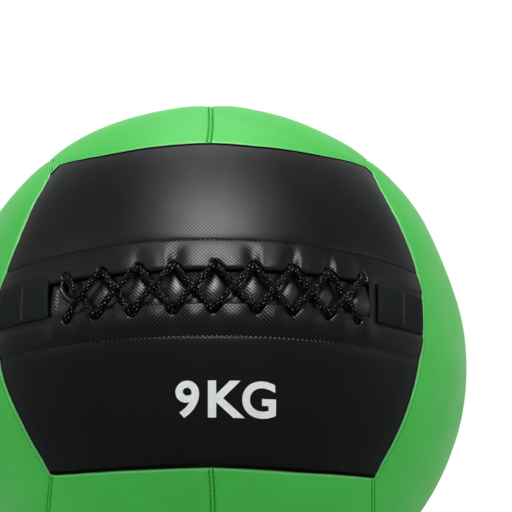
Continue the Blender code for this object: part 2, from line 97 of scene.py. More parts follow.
# The seams: how an edge rolls in, and where its topstitching lies
ROLL_IN = 0.0011
FLANGE_DEPTH = 0.0055
STITCH_INSET = 0.0024
STITCH_GROOVE = 0.0008
GROOVE_WIDTH = 0.00042
BEAD_INSET = 0.00145
BEAD_HEIGHT = 0.00025
BEAD_WIDTH = 0.0005
MIDDLE_SHIFT = 0.0022
HEM_FROM_SLIT = 0.0217
HEM = SLOT_HALF_HEIGHT + HEM_FROM_SLIT

# The camera, which stands level with the ball's middle and looks a little up and to the right
CAMERA_DISTANCE = 12 * BALL_RADIUS
CAMERA_AZIMUTH = math.radians(-1.0)
IMAGE_PIXELS = 512
FOCAL_PIXELS = 3097.0
BALL_RIGHT_PIXELS = -48.0
BALL_DOWN_PIXELS = 109.3
SENSOR = 36.0


def vec(*values):
    return np.array(values, dtype=float)


# Each face's outward, long and short directions, and the names of its two halves
FACES = {
    "front": (vec(0, -1, 0), vec(1, 0, 0), vec(0, 0, 1), ("upper", "lower")),
    "back": (vec(0, 1, 0), vec(-1, 0, 0), vec(0, 0, 1), ("upper", "lower")),
    "left": (vec(-1, 0, 0), vec(0, 0, 1), vec(0, 1, 0), ("back", "front")),
    "right": (vec(1, 0, 0), vec(0, 0, 1), vec(0, 1, 0), ("back", "front")),
    "top": (vec(0, 0, 1), vec(0, 1, 0), vec(1, 0, 0), ("right", "left")),
    "bottom": (vec(0, 0, -1), vec(0, 1, 0), vec(1, 0, 0), ("right", "left")),
}
BLACK_FACES = ("front", "back")
RIPPLE_COUNT = 10
RIPPLE_HEIGHT = 0.00016
FLOOR_SOFTNESS = 0.0012

# Swells and hollows of the stuffing: direction in the world, height and angular radius
LUMPS = (
    (vec(0.618, -0.05, 0.80), 0.0016, 12.0),
    (vec(0.900, -0.03, 0.385), -0.0034, 9.5),
    (vec(0.905, 0.10, 0.62), 0.0010, 10.0),
    (vec(0.190, -0.10, 0.96), -0.0007, 3.0),
    (vec(0.06, 0.0, 1.0), 0.0015, 17.0),
    (vec(-0.45, -0.15, 0.87), 0.0008, 12.0),
    (vec(-0.9, 0.2, -0.1), 0.0012, 18.0),
    (vec(0.2, 0.95, 0.2), -0.0014, 16.0),
    (vec(-0.5, 0.8, -0.3), 0.0012, 14.0),
    (vec(0.75, -0.55, -0.35), 0.0008, 14.0),
)


def unit(vectors):
    return vectors / np.linalg.norm(vectors, axis=-1, keepdims=True)


def smooth_step(low, high, x):
    t = np.clip((x - low) / (high - low), 0, 1)
    return t * t * (3 - 2 * t)


def bell(x, width):
    return np.exp(-((x / width) ** 2))


# The layout of the seams on a unit sphere, as in the part's source


def seam_reach(share):
    return SHORT_REACH - (SHORT_REACH - CORNER) * np.abs(share) ** 3


def long_seam(face, half, share):
    out, along, across, _ = FACES[face]
    a, b = CORNER * share, seam_reach(share)
    c = np.sqrt(1 - a * a - b * b)
    return a[..., None] * along + (half * b)[..., None] * across + c[..., None] * out


def short_seam(face, half, side, share):
    out, along, across, _ = FACES[face]
    a, b = CORNER * share, seam_reach(share)
    c = side * np.sqrt(1 - a * a - b * b)
    return (half * a)[..., None] * across + b[..., None] * out + c[..., None] * along


def middle_seam(face, share):
    out, along, across, _ = FACES[face]
    angle = share * LONG_HALF
    sag = SLIT_SAG * (1 - share**2) if face == "front" else -MIDDLE_SHIFT * (1 - share**8)
    sag = sag / BALL_RADIUS
    line = np.sin(angle)[..., None] * along + np.cos(angle)[..., None] * out
    return unit(line - sag[..., None] * across)


def direction(face, half, u, v):
    """The unit direction of a panel's point: u runs from -1 to 1 along it, v from 0 to 1 across."""
    u, v = np.broadcast_arrays(np.asarray(u, float), np.asarray(v, float))
    one = np.ones_like(u)
    w = ((u + 1) / 2)[..., None]
    x = v[..., None]
    low, high = middle_seam(face, u), long_seam(face, half, u)
    left, right = short_seam(face, half, -1, v), short_seam(face, half, 1, v)
    corners = (
        middle_seam(face, -one) * (1 - w) * (1 - x)
        + middle_seam(face, one) * w * (1 - x)
        + long_seam(face, half, -one) * (1 - w) * x
        + long_seam(face, half, one) * w * x
    )
    return unit(low * (1 - x) + high * x + left * (1 - w) + right * w - corners)


def near_seam(distance):
    return np.clip(1 - distance / SEAM_DIP_REACH, 0, None) ** 2


def seam_dip(face, u, v):
    flat = 1 - near_seam((1 - np.abs(u)) * LONG_ARC)
    flat = flat * (1 - near_seam((1 - v) * SHORT_ARC))
    if face != "front":
        flat = flat * (1 - near_seam(v * SHORT_ARC))
    return SEAM_DIP * (1 - flat)


def rolled_back(places):
    """Places or directions on the ball, once it is rolled back."""
    c, s = math.cos(ROLL), math.sin(ROLL)
    x, y, z = places[..., 0], places[..., 1], places[..., 2]
    return np.stack((x, c * y + s * z, c * z - s * y), axis=-1)


def to_world(points):
    """Rolls the ball back and lifts it so that its flat lies on the floor."""
    return rolled_back(points) + vec(0, 0, FLOOR_DISTANCE)


# How far the sewing draws a black face's seams outwards, in mm, by the angle round the face
DRAWN_OUT = (
    (-180, 1.5), (-162, 3.2), (-150, 1.8), (-139, 2.4), (-134, 5.0), (-126, 2.4), (-118, 1.4), (-90, 1.2),
    (-72, 2.2), (-55, 4.0), (-49, 6.0), (-45, 8.5), (-41, 5.5), (-35, 4.4), (-24, 3.0), (-12, 1.6), (0, 0.9),
    (15, 0.4), (22, 0.2), (29, 1.6), (35, 4.2), (40, 8.5), (44, 17.0), (47, 25.0), (50, 18.0), (53, 10.5),
    (56, 6.5), (60, 4.0), (65, 2.4), (75, 1.0), (90, 2.4), (106, 0.8), (116, 1.0), (120, 1.8), (124, 4.0),
    (128, 10.0), (132, 21.0), (136, 9.0), (140, 3.5), (145, 1.0), (151, -3.0), (158, -5.0), (164, -4.0),
    (170, -2.2), (180, 1.5),
)
DRAWN_REACH = math.radians(9.5)
# The same for the back face: everywhere, and at its corners, this far from upright
BACK_DRAWN_MM = 1.0
BACK_CORNER_DRAWN_MM = 6.0
BACK_CORNER_DEG = 42
BACK_CORNER_WIDTH_DEG = 7.0


def black_outline():
    """The angle from a black face's middle to its seams, by the angle round it."""
    share = np.linspace(-1, 1, 1001)
    rims = [long_seam("front", half, share) for half in (1, -1)]
    rims += [short_seam("front", half, side, (share + 1) / 2) for half in (1, -1) for side in (1, -1)]
    rim = np.concatenate(rims)
    around = np.degrees(np.arctan2(rim[:, 2], rim[:, 0]))
    order = np.argsort(around)
    return around[order], np.arccos(-rim[order, 1])


BLACK_OUTLINE = black_outline()


def drawn(ways):
    """Moves the seams round the black faces a little to where the sewing draws them."""
    y = ways[..., 1]
    around = np.degrees(np.arctan2(ways[..., 2], ways[..., 0]))
    angle = np.arccos(np.clip(np.abs(y), 0, 1))
    seam = np.interp(around, *BLACK_OUTLINE, period=360)
    front = np.interp(around, *np.array(DRAWN_OUT).T)
    corner = bell(np.abs(np.abs(around) - 90) - BACK_CORNER_DEG, BACK_CORNER_WIDTH_DEG)
    back = BACK_DRAWN_MM + BACK_CORNER_DRAWN_MM * corner
    push = np.where(y < 0, front, back) * MM / BALL_RADIUS * bell(angle - seam, DRAWN_REACH)
    turned = angle + push
    grow = np.sin(turned) / np.maximum(np.hypot(ways[..., 0], ways[..., 2]), 1e-9)
    outwards = np.where(y < 0, -1, 1) * np.cos(turned)
    return np.stack((ways[..., 0] * grow, outwards, ways[..., 2] * grow), axis=-1)


def swell(ways):
    """How far the stuffing lifts or drops the surface in these directions."""
    world = rolled_back(ways)
    height = np.zeros(ways.shape[:-1])
    for axis, lift, radius in LUMPS:
        height += lift * bell(np.degrees(np.arccos(np.clip(world @ unit(axis), -1, 1))), radius)
    seeded = np.random.default_rng(7)
    for _ in range(RIPPLE_COUNT):
        wave = unit(seeded.normal(size=3)) * seeded.uniform(4, 11)
        height += RIPPLE_HEIGHT * np.sin(world @ wave + seeded.uniform(0, 2 * math.pi))
    return height


def placed(face, half, u, v, depth, floor=0.0):
    """World points this far below a panel's outer surface, kept above the floor."""
    ways = drawn(direction(face, half, u, v))
    radius = BALL_RADIUS - seam_dip(face, u, v) + swell(ways) - depth
    points = to_world(ways * radius[..., None])
    over = (points[..., 2] - floor) / FLOOR_SOFTNESS
    soft = np.where(over > 20, over, np.log1p(np.exp(np.minimum(over, 20))))
    points[..., 2] = floor + FLOOR_SOFTNESS * soft
    return points


# Meshes


SHARP_ANGLE = math.radians(50)


def linked(name, data):
    """A new object in the scene with this data."""
    made = bpy.data.objects.new(name, data)
    bpy.context.scene.collection.objects.link(made)
    return made


def make_mesh(name, points, faces, corner_uv=None):
    mesh = bpy.data.meshes.new(name)
    mesh.from_pydata(np.asarray(points).reshape(-1, 3), [], faces)
    if corner_uv is not None:
        layer = mesh.uv_layers.new(name="metric")
        loops = np.empty(len(mesh.loops), dtype=np.int32)
        mesh.loops.foreach_get("vertex_index", loops)
        layer.data.foreach_set("uv", np.asarray(corner_uv, float)[loops].ravel())
    return mesh


def renumbered(faces, total):
    """The points that some face uses, and the faces by these points' own numbers."""
    used = np.unique(faces)
    numbers = np.full(total, -1)
    numbers[used] = np.arange(len(used))
    return used, numbers[faces].tolist()


def shell(name, outer, inner, metric, look, keep=None):
    """A closed sheet from two grids of points, of which the kept cells are faces."""
    rows, columns = outer.shape[:2]
    if keep is None:
        keep = np.ones((rows - 1, columns - 1), bool)
    index = np.arange(rows * columns).reshape(rows, columns)
    corners = (index[:-1, :-1], index[:-1, 1:], index[1:, 1:], index[1:, :-1])
    quads = np.stack([corner[keep] for corner in corners], axis=1)
    starts, ends = quads.ravel(), np.roll(quads, -1, axis=1).ravel()
    total = rows * columns
    forward = set((starts * total + ends).tolist())
    rim = np.array([key not in forward for key in (ends * total + starts).tolist()])
    low, high = starts[rim], ends[rim]
    walls = np.stack((high, low, low + total, high + total), axis=1)
    used, faces = renumbered(np.concatenate((quads, quads[:, ::-1] + total, walls)), 2 * total)
    points = np.concatenate((outer.reshape(-1, 3), inner.reshape(-1, 3)))[used]
    uv = np.tile(metric.reshape(-1, 2), (2, 1))[used]
    return orient(make_mesh(name, points, faces, uv), look)


def tube_faces(index):
    """Faces of closed tubes with their ends, from their points' numbers by tube, ring and side."""
    beside = np.roll(index, -1, axis=2)
    walls = np.stack((index[:, :-1], index[:, 1:], beside[:, 1:], beside[:, :-1]), axis=-1)
    return walls.reshape(-1, 4).tolist() + index[:, 0].tolist() + index[:, -1, ::-1].tolist()


def orient(mesh, look):
    """Turns a closed mesh right side out and makes an object of it."""
    build = bmesh.new()
    build.from_mesh(mesh)
    bmesh.ops.recalc_face_normals(build, faces=build.faces)
    build.to_mesh(mesh)
    build.free()
    mesh.shade_smooth()
    mesh.set_sharp_from_angle(angle=SHARP_ANGLE)
    mesh.materials.append(look)
    return linked(mesh.name, mesh)


# The panels

EDGE_STEPS = (0, 0, 0.08, 0.2, 0.4, 0.7, 1.1, 1.5, 1.85, 2.15, 2.4, 2.65, 3.0, 3.7, 5.2, 7.5)


def edge_depths(stitched):
    """Depths at EDGE_STEPS: the turned-in flange, the rolled edge and the stitched groove."""
    distance = np.array(EDGE_STEPS) * MM
    inside = np.minimum(distance / ROLL_IN, 1)
    depths = ROLL_IN * (1 - np.sqrt(1 - (1 - inside) ** 2))
    if stitched:
        depths += STITCH_GROOVE * bell(distance - STITCH_INSET, GROOVE_WIDTH)
        depths -= BEAD_HEIGHT * bell(distance - BEAD_INSET, BEAD_WIDTH)
    depths[0] = FLANGE_DEPTH
    return depths


EDGE_LINES = np.array(EDGE_STEPS) * MM + SEAM_GAP / 2
PLAIN_EDGE, SEWN_EDGE = edge_depths(False), edge_depths(True)
PANEL_PITCH = 0.0036
SCALE_STEP = 0.01
# How far a sheet's inner side is drawn in at its ends, at its seams and at the slit, and its fill
END_DRAW = 1.4 * SKIN
SEAM_DRAW = 1.2 * SKIN
SLIT_DRAW = 0.5 * SKIN


def stitched_edge(face, half, edge):
    """Which edges carry topstitching: the long seams, and one side of each middle seam."""
    if edge == "long":
        return True
    return edge == "middle" and face != "front" and half < 0


def edge_scale(face, half, u, v, step_u, step_v):
    """Metres for each unit of u or v at these places."""
    here = direction(face, half, u, v)
    there = direction(face, half, u + step_u, v + step_v)
    size = abs(step_u) + abs(step_v)
    return np.linalg.norm(there - here, axis=-1) / size * BALL_RADIUS


def panel_grid(face, half):
    """Grids of u, v and extra depth, with fine lines beside every seam."""
    reach = EDGE_LINES[-1]
    inner_columns = np.linspace(0, 1, max(8, round(2 * (LONG_ARC - reach) / PANEL_PITCH)))[1:-1]
    inner_rows = np.linspace(0, 1, max(6, round((SHORT_ARC - 2 * reach) / PANEL_PITCH)))[1:-1]
    short, long = EDGE_LINES / SHORT_ARC, EDGE_LINES / LONG_ARC
    nominal_v = np.concatenate((short, short[-1] + inner_rows * (1 - 2 * short[-1]), 1 - short[::-1]))
    columns = (-1 + long[-1]) + inner_columns * 2 * (1 - long[-1])
    nominal_u = np.concatenate((-1 + long, columns, 1 - long[::-1]))
    low = edge_scale(face, half, nominal_u, 0.0, 0, SCALE_STEP)
    high = edge_scale(face, half, nominal_u, 1.0, 0, -SCALE_STEP)

    edge_u = EDGE_LINES / edge_scale(face, half, -1.0, nominal_v, SCALE_STEP, 0)[:, None]
    last = edge_u[:, -1:]
    middle = -1 + last + inner_columns * 2 * (1 - last)
    u = np.concatenate((-1 + edge_u, middle, 1 - edge_u[:, ::-1]), axis=1)
    low_v, high_v = EDGE_LINES[:, None] / low, EDGE_LINES[:, None] / high
    span = 1 - low_v[-1:] - high_v[-1:]
    v = np.concatenate((low_v, low_v[-1:] + inner_rows[:, None] * span, 1 - high_v[::-1]), axis=0)

    at_middle, at_seam = (SEWN_EDGE if stitched_edge(face, half, edge) else PLAIN_EDGE
                          for edge in ("middle", "long"))
    row_depth = np.concatenate((at_middle, np.zeros(len(inner_rows)), at_seam[::-1]))
    column_depth = np.concatenate((PLAIN_EDGE, np.zeros(len(inner_columns)), PLAIN_EDGE[::-1]))
    return u, v, combine(row_depth[:, None], column_depth)


def combine(a, b):
    """The depth where two relieved edges meet, and either one alone elsewhere."""
    positive = np.sqrt(np.clip(a, 0, None) ** 2 + np.clip(b, 0, None) ** 2)
    return positive + np.clip(a, None, 0) + np.clip(b, None, 0)


def metric_grid(u, v, half):
    return np.stack((u * LONG_ARC, half * v * SHORT_ARC), axis=-1)


def panel(face, half, look):
    """One sewn panel. Those at the front have the slot, real holes, the lace's folds and a hem."""
    keep, slit_draw = None, SEAM_DRAW
    if face == "front":
        u, v, depth = front_lines(half)
        keep, along, across = punched(u * LONG_ARC, v * SHORT_ARC, half)
        u, v = along / LONG_ARC, across / SHORT_ARC
        depth, slit_draw = laced_depth(u, v, depth, half), SLIT_DRAW
    else:
        u, v, depth = panel_grid(face, half)
    outer = placed(face, half, u, v, depth)
    inner_u = np.clip(np.abs(u), None, 1 - END_DRAW / LONG_ARC) * np.sign(u)
    inner_v = np.clip(v, slit_draw / SHORT_ARC, 1 - SEAM_DRAW / SHORT_ARC)
    inner = placed(face, half, inner_u, inner_v, np.minimum(depth, FLANGE_DEPTH) + SKIN, SKIN)
    name = f"{face}_{FACES[face][3][0 if half > 0 else 1]}"
    made = shell(f"{name}_vinyl", outer, inner, metric_grid(u, v, half), look, keep)
    return dress(made, f"{name}_panel")


def dress(piece, node):
    """Says which body the piece rides on and hides the node that it replaces."""
    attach(piece, "root")
    if node:
        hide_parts(node)
    return piece


# The two laced panels, in metres along the slit and across from its middle line


def hole_places(half):
    """Along the slit, where the lace holes of one row lie. They aren't quite even."""
    regular = (np.arange(HOLE_COUNT) - (HOLE_COUNT - 1) / 2) * HOLE_PITCH
    return regular + np.array(HOLE_NUDGES_MM[half]) * MM


HOLE_NUDGES_MM = {
    1: (1.9, 2.6, 2.2, 0.4, 1.7, 1.3, 1.6, 1.9, 2.3),
    -1: (2.3, -1.6, -2.0, -0.3, 0.0, 2.3, 0.8, 0.5, -2.0),
}
HOLES = {half: hole_places(half) for half in (1, -1)}


SLOT_LEFT = 0.1104


def slot_distance(along, across):
    """How far outside the slot's outline a place lies. Its left end is under the webbing."""
    return np.hypot(
        np.clip(along - SLOT_HALF_LENGTH, 0, None) + np.clip(-SLOT_LEFT - along, 0, None),
        np.clip(across - SLOT_HALF_HEIGHT, 0, None),
    )


def to_segment(along, across, start, end):
    """Distance from a segment, and the nearest point on it."""
    run = end - start
    share = ((along - start[0]) * run[0] + (across - start[1]) * run[1]) / max(run @ run, 1e-12)
    share = np.clip(share, 0, 1)
    near = start[0] + share * run[0], start[1] + share * run[1]
    return np.hypot(along - near[0], across - near[1]), *near


def openings(half):
    """Each hole with the notch that the leaving strand pulls from it to the slot."""
    places = []
    for index in range(HOLE_COUNT):
        start = vec(HOLES[half][index], HOLE_ACROSS)
        end = start
        if 0 < index < HOLE_COUNT - 1:
            way = unit(vec(HOLES[-half][index + 1], -HOLE_ACROSS) - start)
            end = start + way * NOTCH_REACH
        places.append((start, end))
    return places


NOTCH_REACH = 0.0065


def nearest_opening(along, across, half):
    """Distance from the nearest hole or notch, and the nearest point of its middle line."""
    found = np.array([to_segment(along, across, start, end) for start, end in openings(half)])
    closest = np.argmin(found[:, 0], axis=0)
    return np.take_along_axis(found, closest[None, None], axis=0)[0]


def lacing_relief(along, across, half):
    """Depth of the folds that the lace pulls into a flap: valleys at holes, pillows between."""
    holes = HOLES[half]
    offset = along[..., None] - holes
    closest = np.argmin(np.abs(offset), axis=-1)
    dx = np.take_along_axis(offset, closest[..., None], axis=-1)[..., 0]
    from_edge = across - SLOT_HALF_HEIGHT
    past_hole = np.clip(from_edge - FOLD_START, 0, None)
    strength = vec(*VALLEY_STRENGTH[half])[closest]
    lean = np.random.default_rng(FOLD_SEED[half]).uniform(-VALLEY_LEAN, VALLEY_LEAN, HOLE_COUNT)[closest]
    fade = 1 - smooth_step(0.25 * VALLEY_REACH[half], 1.15 * VALLEY_REACH[half], from_edge)
    ends = smooth_step(SLOT_HALF_LENGTH + 0.010, SLOT_HALF_LENGTH - 0.004, np.abs(along))
    valley = bell(dx + lean * past_hole, VALLEY_WIDTH + VALLEY_SPREAD * past_hole)
    between = 0.5 - 0.5 * np.cos(2 * math.pi * np.clip(dx / HOLE_PITCH, -0.5, 0.5))
    depth = VALLEY_DEPTH[half] * strength * valley * fade * ends
    if half > 0:
        depth -= PILLOW * between * bell(from_edge - PILLOW_PLACE, PILLOW_WIDTH) * ends
        depth += EDGE_DROP * (1 - smooth_step(0, EDGE_DROP_REACH, from_edge)) * ends
        # A ridge beside each valley, on the far side from the middle of the slit
        side = np.where(holes[closest] > 0.01, 1, -1)
        ridge = bell(dx * side - 0.0042 - 0.12 * past_hole, 0.0022 + 0.06 * past_hole)
        depth -= RIDGE * strength * ridge * fade * ends
    else:
        low, top, high = LIP_PLACES
        lip = smooth_step(low, top, from_edge) * (1 - smooth_step(top, high, from_edge))
        depth -= LIP * lip * (0.35 + 0.65 * between) * ends
    rim = np.clip(1 - (nearest_opening(along, across, half)[0] - HOLE_RADIUS) / RIM_WIDTH, 0, 1)
    return depth + RIM_DEPTH * rim**2


# The folds above (1) and below (-1) the slit. The valleys' strengths go from the left to the right
FOLD_SEED = {1: 11, -1: 12}
FOLD_START = 0.003
VALLEY_DEPTH = {1: 0.0016, -1: 0.0009}
VALLEY_REACH = {1: 0.0215, -1: 0.0120}
VALLEY_WIDTH = 0.0033
VALLEY_SPREAD = 0.15
VALLEY_LEAN = 0.16
VALLEY_STRENGTH = {
    1: (0.05, 0.05, 0.3, 0.9, 0.15, 0.9, 1.25, 1.1, 0.9),
    -1: (0.8, 0.5, 1.0, 1.1, 0.9, 1.1, 0.8, 0.6, 0.6),
}
RIDGE = 0.0005
PILLOW = 0.0009
PILLOW_PLACE = 0.0040
PILLOW_WIDTH = 0.0085
LIP_PLACES = (-0.0035, 0.0105, 0.0215)
RIM_WIDTH = 0.0010
RIM_DEPTH = 0.0007
SLOT_ROLL = 0.0011
HEM_RISE = 0.0019
HEM_RISE_RUN = 0.0205
TAB_HOLLOW = 0.0014
EDGE_DROP = 0.0007
EDGE_DROP_REACH = 0.0025
LIP = 0.0031


def hem_relief(across):
    """The row of stitches pulls a narrow groove, and the flap stands proud between it and the slit."""
    proud = np.clip((HEM - across) / HEM_RISE_RUN, 0, 1)
    sunk = 0.0004 * bell(across - HEM, 0.0030)
    return 0.0003 * bell(across - HEM, 0.0007) + sunk - HEM_RISE * proud


def laced_depth(u, v, depth, half):
    along, across = u * LONG_ARC, v * SHORT_ARC
    curl = np.clip(1 - slot_distance(along, across) / SLOT_ROLL, 0, 1)
    depth = depth + SLOT_ROLL * (1 - np.sqrt(1 - curl**2)) + lacing_relief(along, across, half)
    depth = depth + hem_relief(across)
    under_tab = smooth_step(TAB_START - 0.004, TAB_START + 0.003, np.abs(along))
    under_tab = under_tab * smooth_step(TAB_WIDTH / 2 + 0.007, TAB_WIDTH / 2 + 0.001, across)
    return depth + TAB_HOLLOW * under_tab


def graded(low, high, fine, coarse, ends=0.004):
    """Steps from low to high that are fine at both ends."""
    at, stops = low, [low]
    while at < high:
        near = min(at - low, high - at)
        step = fine + (coarse - fine) * min(1, near / ends)
        at += step
        stops.append(at)
    scale = (high - low) / (stops[-1] - low)
    return [low + (stop - low) * scale for stop in stops]


def front_lines(half):
    """Grids of u, v and extra depth for a laced panel."""
    reach = EDGE_LINES[-1]
    beside = graded(-LONG_ARC + INNER_START, -SLOT_HALF_LENGTH, 0.00025, 0.002)
    inside = graded(-SLOT_HALF_LENGTH, SLOT_HALF_LENGTH, 0.00025, 0.0008, 0.003)
    middle_along = np.array(beside[1:] + inside[1:-1] + [-stop for stop in reversed(beside[1:])])
    lower = graded(0.0, SLOT_HALF_HEIGHT, 0.0003, 0.0015, 0.003)
    upper = graded(SLOT_HALF_HEIGHT, HEM, 0.00022, 0.0009, 0.006)
    beyond = graded(HEM, SHORT_ARC - INNER_START, 0.0003, 0.0028, 0.010)
    middle_across = np.array(lower[1:] + upper[1:] + beyond[1:-1])

    short, long = EDGE_LINES / SHORT_ARC, EDGE_LINES / LONG_ARC
    nominal_v = np.concatenate((short[:1], middle_across / SHORT_ARC, 1 - short[::-1]))
    nominal_u = np.concatenate((-1 + long, middle_along / LONG_ARC, 1 - long[::-1]))
    high = edge_scale("front", half, nominal_u, 1.0, 0, -SCALE_STEP)

    edge_u = EDGE_LINES / edge_scale("front", half, -1.0, nominal_v, SCALE_STEP, 0)[:, None]
    last, nominal_last = -1 + edge_u[:, -1:], -1 + reach / LONG_ARC
    inner, slot_end = middle_along[None, :] / LONG_ARC, SLOT_HALF_LENGTH / LONG_ARC
    share = np.clip((np.abs(inner) - slot_end) / (-nominal_last - slot_end), 0, 1)
    pulled = inner + np.sign(inner) * share * (nominal_last - last)
    u = np.concatenate((-1 + edge_u, pulled, 1 - edge_u[:, ::-1]), axis=1)

    high_v = EDGE_LINES[:, None] / high
    nominal_top, hem_share = 1 - reach / SHORT_ARC, HEM / SHORT_ARC
    rows = middle_across[:, None] / SHORT_ARC
    share = np.clip((rows - hem_share) / (nominal_top - hem_share), 0, 1)
    middle_v = rows + share * (1 - high_v[-1:] - nominal_top)
    first = np.full((1, u.shape[1]), short[0])
    v = np.concatenate((first, middle_v, 1 - high_v[::-1]), axis=0)

    row_depth = np.concatenate((np.zeros(1 + len(middle_across)), SEWN_EDGE[::-1]))
    column_depth = np.concatenate((PLAIN_EDGE, np.zeros(len(middle_along)), PLAIN_EDGE[::-1]))
    return u, v, combine(row_depth[:, None], column_depth)


INNER_START = 0.0075 * 1.2


def punched(along, across, half):
    """Which cells stay once the slot, holes and notches are cut, with the cuts' rims made round."""
    first, second = slice(None, -1), slice(1, None)
    corners = ((first, first), (second, first), (first, second), (second, second))
    middle_along, middle_across = (sum(grid[corner] for corner in corners) / 4 for grid in (along, across))
    in_slot = (middle_along < SLOT_HALF_LENGTH) & (middle_along > -SLOT_LEFT)
    in_slot &= middle_across < SLOT_HALF_HEIGHT
    in_hole = nearest_opening(middle_along, middle_across, half)[0] < HOLE_RADIUS
    touched = np.zeros(along.shape, bool)
    for corner in corners:
        touched[corner] |= in_hole
    distance, x, y = nearest_opening(along, across, half)
    # Corners inside a cut are dropped with its cells, and those on its rim go to its edge
    factor = np.where(touched & (distance > 1e-6), HOLE_RADIUS / np.maximum(distance, 1e-6), 1)
    safe = np.maximum(y + (across - y) * factor, np.minimum(across, SLOT_HALF_HEIGHT))
    return ~(in_slot | in_hole), x + (along - x) * factor, safe


def facing(half, look):
    """The doubling behind a flap, which follows the flap's folds."""
    name = "upper_slit_facing" if half > 0 else "lower_slit_facing"
    columns = graded(-LONG_ARC + 0.008, LONG_ARC - 0.008, 0.001, 0.001)
    rows = graded(SLOT_HALF_HEIGHT, SLOT_HALF_HEIGHT + FACING_WIDTH, 0.0004, 0.0011)
    along, across = np.meshgrid(np.array(columns), np.array(rows))
    keep, along, across = punched(along, across, half)
    u, v = along / LONG_ARC, across / SHORT_ARC
    depth = laced_depth(u, v, np.zeros_like(u), half)
    outer = placed("front", half, u, v, depth + SKIN + GAP)
    inner = placed("front", half, u, v, depth + FLAP_DEPTH)
    made = shell(f"{name}_vinyl", outer, inner, metric_grid(u, v, half), look, keep)
    return dress(made, name)


# Places over and under the slit


def slit_points(along, across, height):
    """World points this far along and across the slit, and this high above the surface."""
    along, across, height = (np.asarray(value, float) for value in (along, across, height))
    along, across, height = np.broadcast_arrays(along, across, height)
    share = np.abs(across) / SHORT_ARC
    upper = placed("front", 1, along / LONG_ARC, share, -height)
    lower = placed("front", -1, along / LONG_ARC, share, -height)
    return np.where((across >= 0)[..., None], upper, lower)


def strand_distances(along, across):
    """Distances from the middle lines of all strands of the lace."""
    for half in (1, -1):
        for index in range(HOLE_COUNT - 1):
            start = vec(HOLES[half][index], half * HOLE_ACROSS)
            end = vec(HOLES[-half][index + 1], -half * HOLE_ACROSS)
            yield to_segment(along, across, start, end)[0]


def tongue_height(along, across):
    """The tongue bulges out between the strands that press it down, and drops behind the flaps."""
    pillow = np.ones_like(along)
    for distance in strand_distances(along, across):
        pillow = pillow * (1 - bell(distance, PRESS_WIDTH))
    press = PRESS + MIDDLE_PRESS * bell(across, MIDDLE_PRESS_WIDTH)
    height = np.interp(across, *TONGUE_SLOPE) + TONGUE_LIFT - press * (1 - pillow)
    height -= LEFT_HOLLOW * smooth_step(-0.0945, -0.0990, along) * smooth_step(-0.1065, -0.1030, along)
    height += RIGHT_SWELL * smooth_step(0.0880, 0.0980, along) * bell(across + 0.003, 0.0095)
    curl = np.min([to_segment(along, across, vec(*start), vec(*end))[0]
                   for start, end in zip(CURL_PATH, CURL_PATH[1:])], axis=0)
    height = np.maximum(height, CURL_FOOT + CURL_HEIGHT * bell(curl, CURL_WIDTH))
    inset = np.where(across > 0, 0.0004, 0.0003)
    behind = smooth_step(0, 0.0034, np.abs(across) - SLOT_HALF_HEIGHT + inset)
    right_end = smooth_step(SLOT_HALF_LENGTH - 0.0004, SLOT_HALF_LENGTH + 0.002, along)
    left_end = smooth_step(-SLOT_LEFT + 0.0012, -SLOT_LEFT - 0.0018, along)
    hidden = np.maximum(behind, np.maximum(right_end, left_end))
    return height * (1 - hidden) + np.minimum(height, TONGUE_HIDDEN) * hidden


TONGUE_LIFT = -0.0004
TONGUE_HIDDEN = -0.0058
PRESS = 0.0014
PRESS_WIDTH = 0.0048
MIDDLE_PRESS = 0.0012
MIDDLE_PRESS_WIDTH = 0.006
LEFT_HOLLOW = 0.0012
RIGHT_SWELL = 0.0022
CURL_FOOT = -0.0055
CURL_HEIGHT = 0.0076
CURL_WIDTH = 0.0026
TONGUE_PITCH = 0.0005


# The tongue leans out towards the lower flap: places across the slit, and heights there
TONGUE_SLOPE = (
    (-0.0300, -0.0120, -0.0080, -0.0040, 0.0, 0.0040, 0.0080, 0.0116, 0.0300),
    (-0.0030, -0.0002, 0.0004, 0.0002, -0.0004, -0.0009, -0.0012, -0.0010, -0.0030),
)
# The tongue's rolled edge at the slit's left end
CURL_PATH = (
    (-0.0990, 0.0125), (-0.0998, 0.0085), (-0.0995, 0.0052), (-0.0975, 0.0020), (-0.0945, -0.0012),
    (-0.0912, -0.0035),
)


def tongue(look):
    reaches = (SLOT_HALF_LENGTH + TONGUE_END, SLOT_HALF_HEIGHT + TONGUE_OVERLAP)
    lines = (np.array(graded(-reach, reach, TONGUE_PITCH, TONGUE_PITCH)) for reach in reaches)
    along, across = np.meshgrid(*lines)
    height = tongue_height(along, across)
    outer, inner = (slit_points(along, across, height - below) for below in (0, TONGUE))
    made = shell("tongue_vinyl", outer, inner, np.stack((along, across), axis=-1), look)
    return dress(made, "slit_tongue")


# The lace, along the same route as in the part's source, drawn tight over the tongue


def on_strand(hole, way, distance, height):
    """A place this far from a hole along a strand."""
    return hole[0] + way[0] * distance, hole[1] + way[1] * distance, height


def turn_back(hole, arriving, leaving):
    """Down into a hole from outside and out again beside it, round the flap's edge."""
    half = 1 if hole[1] > 0 else -1
    lift = FLAP_LIFT[half]
    return [
        *(on_strand(hole, arriving, -distance, height + lift) for distance, height in TURN_BEFORE),
        (hole[0], hole[1] + TURN_SHIFT[half], TURN_LOW + lift),
        *(on_strand(hole, leaving, distance, height + lift) for distance, height in TURN_AFTER),
    ]


# The turn at a hole: distances before and after it with heights there, and its lowest place
TURN_BEFORE = ((0.0042, LACE_HIGH), (0.0019, 0.0014))
TURN_AFTER = ((0.0021, -0.0010), (0.0046, 0.0005))
TURN_SHIFT = {1: -0.0004, -1: -0.0006}
TURN_LOW = -0.0022
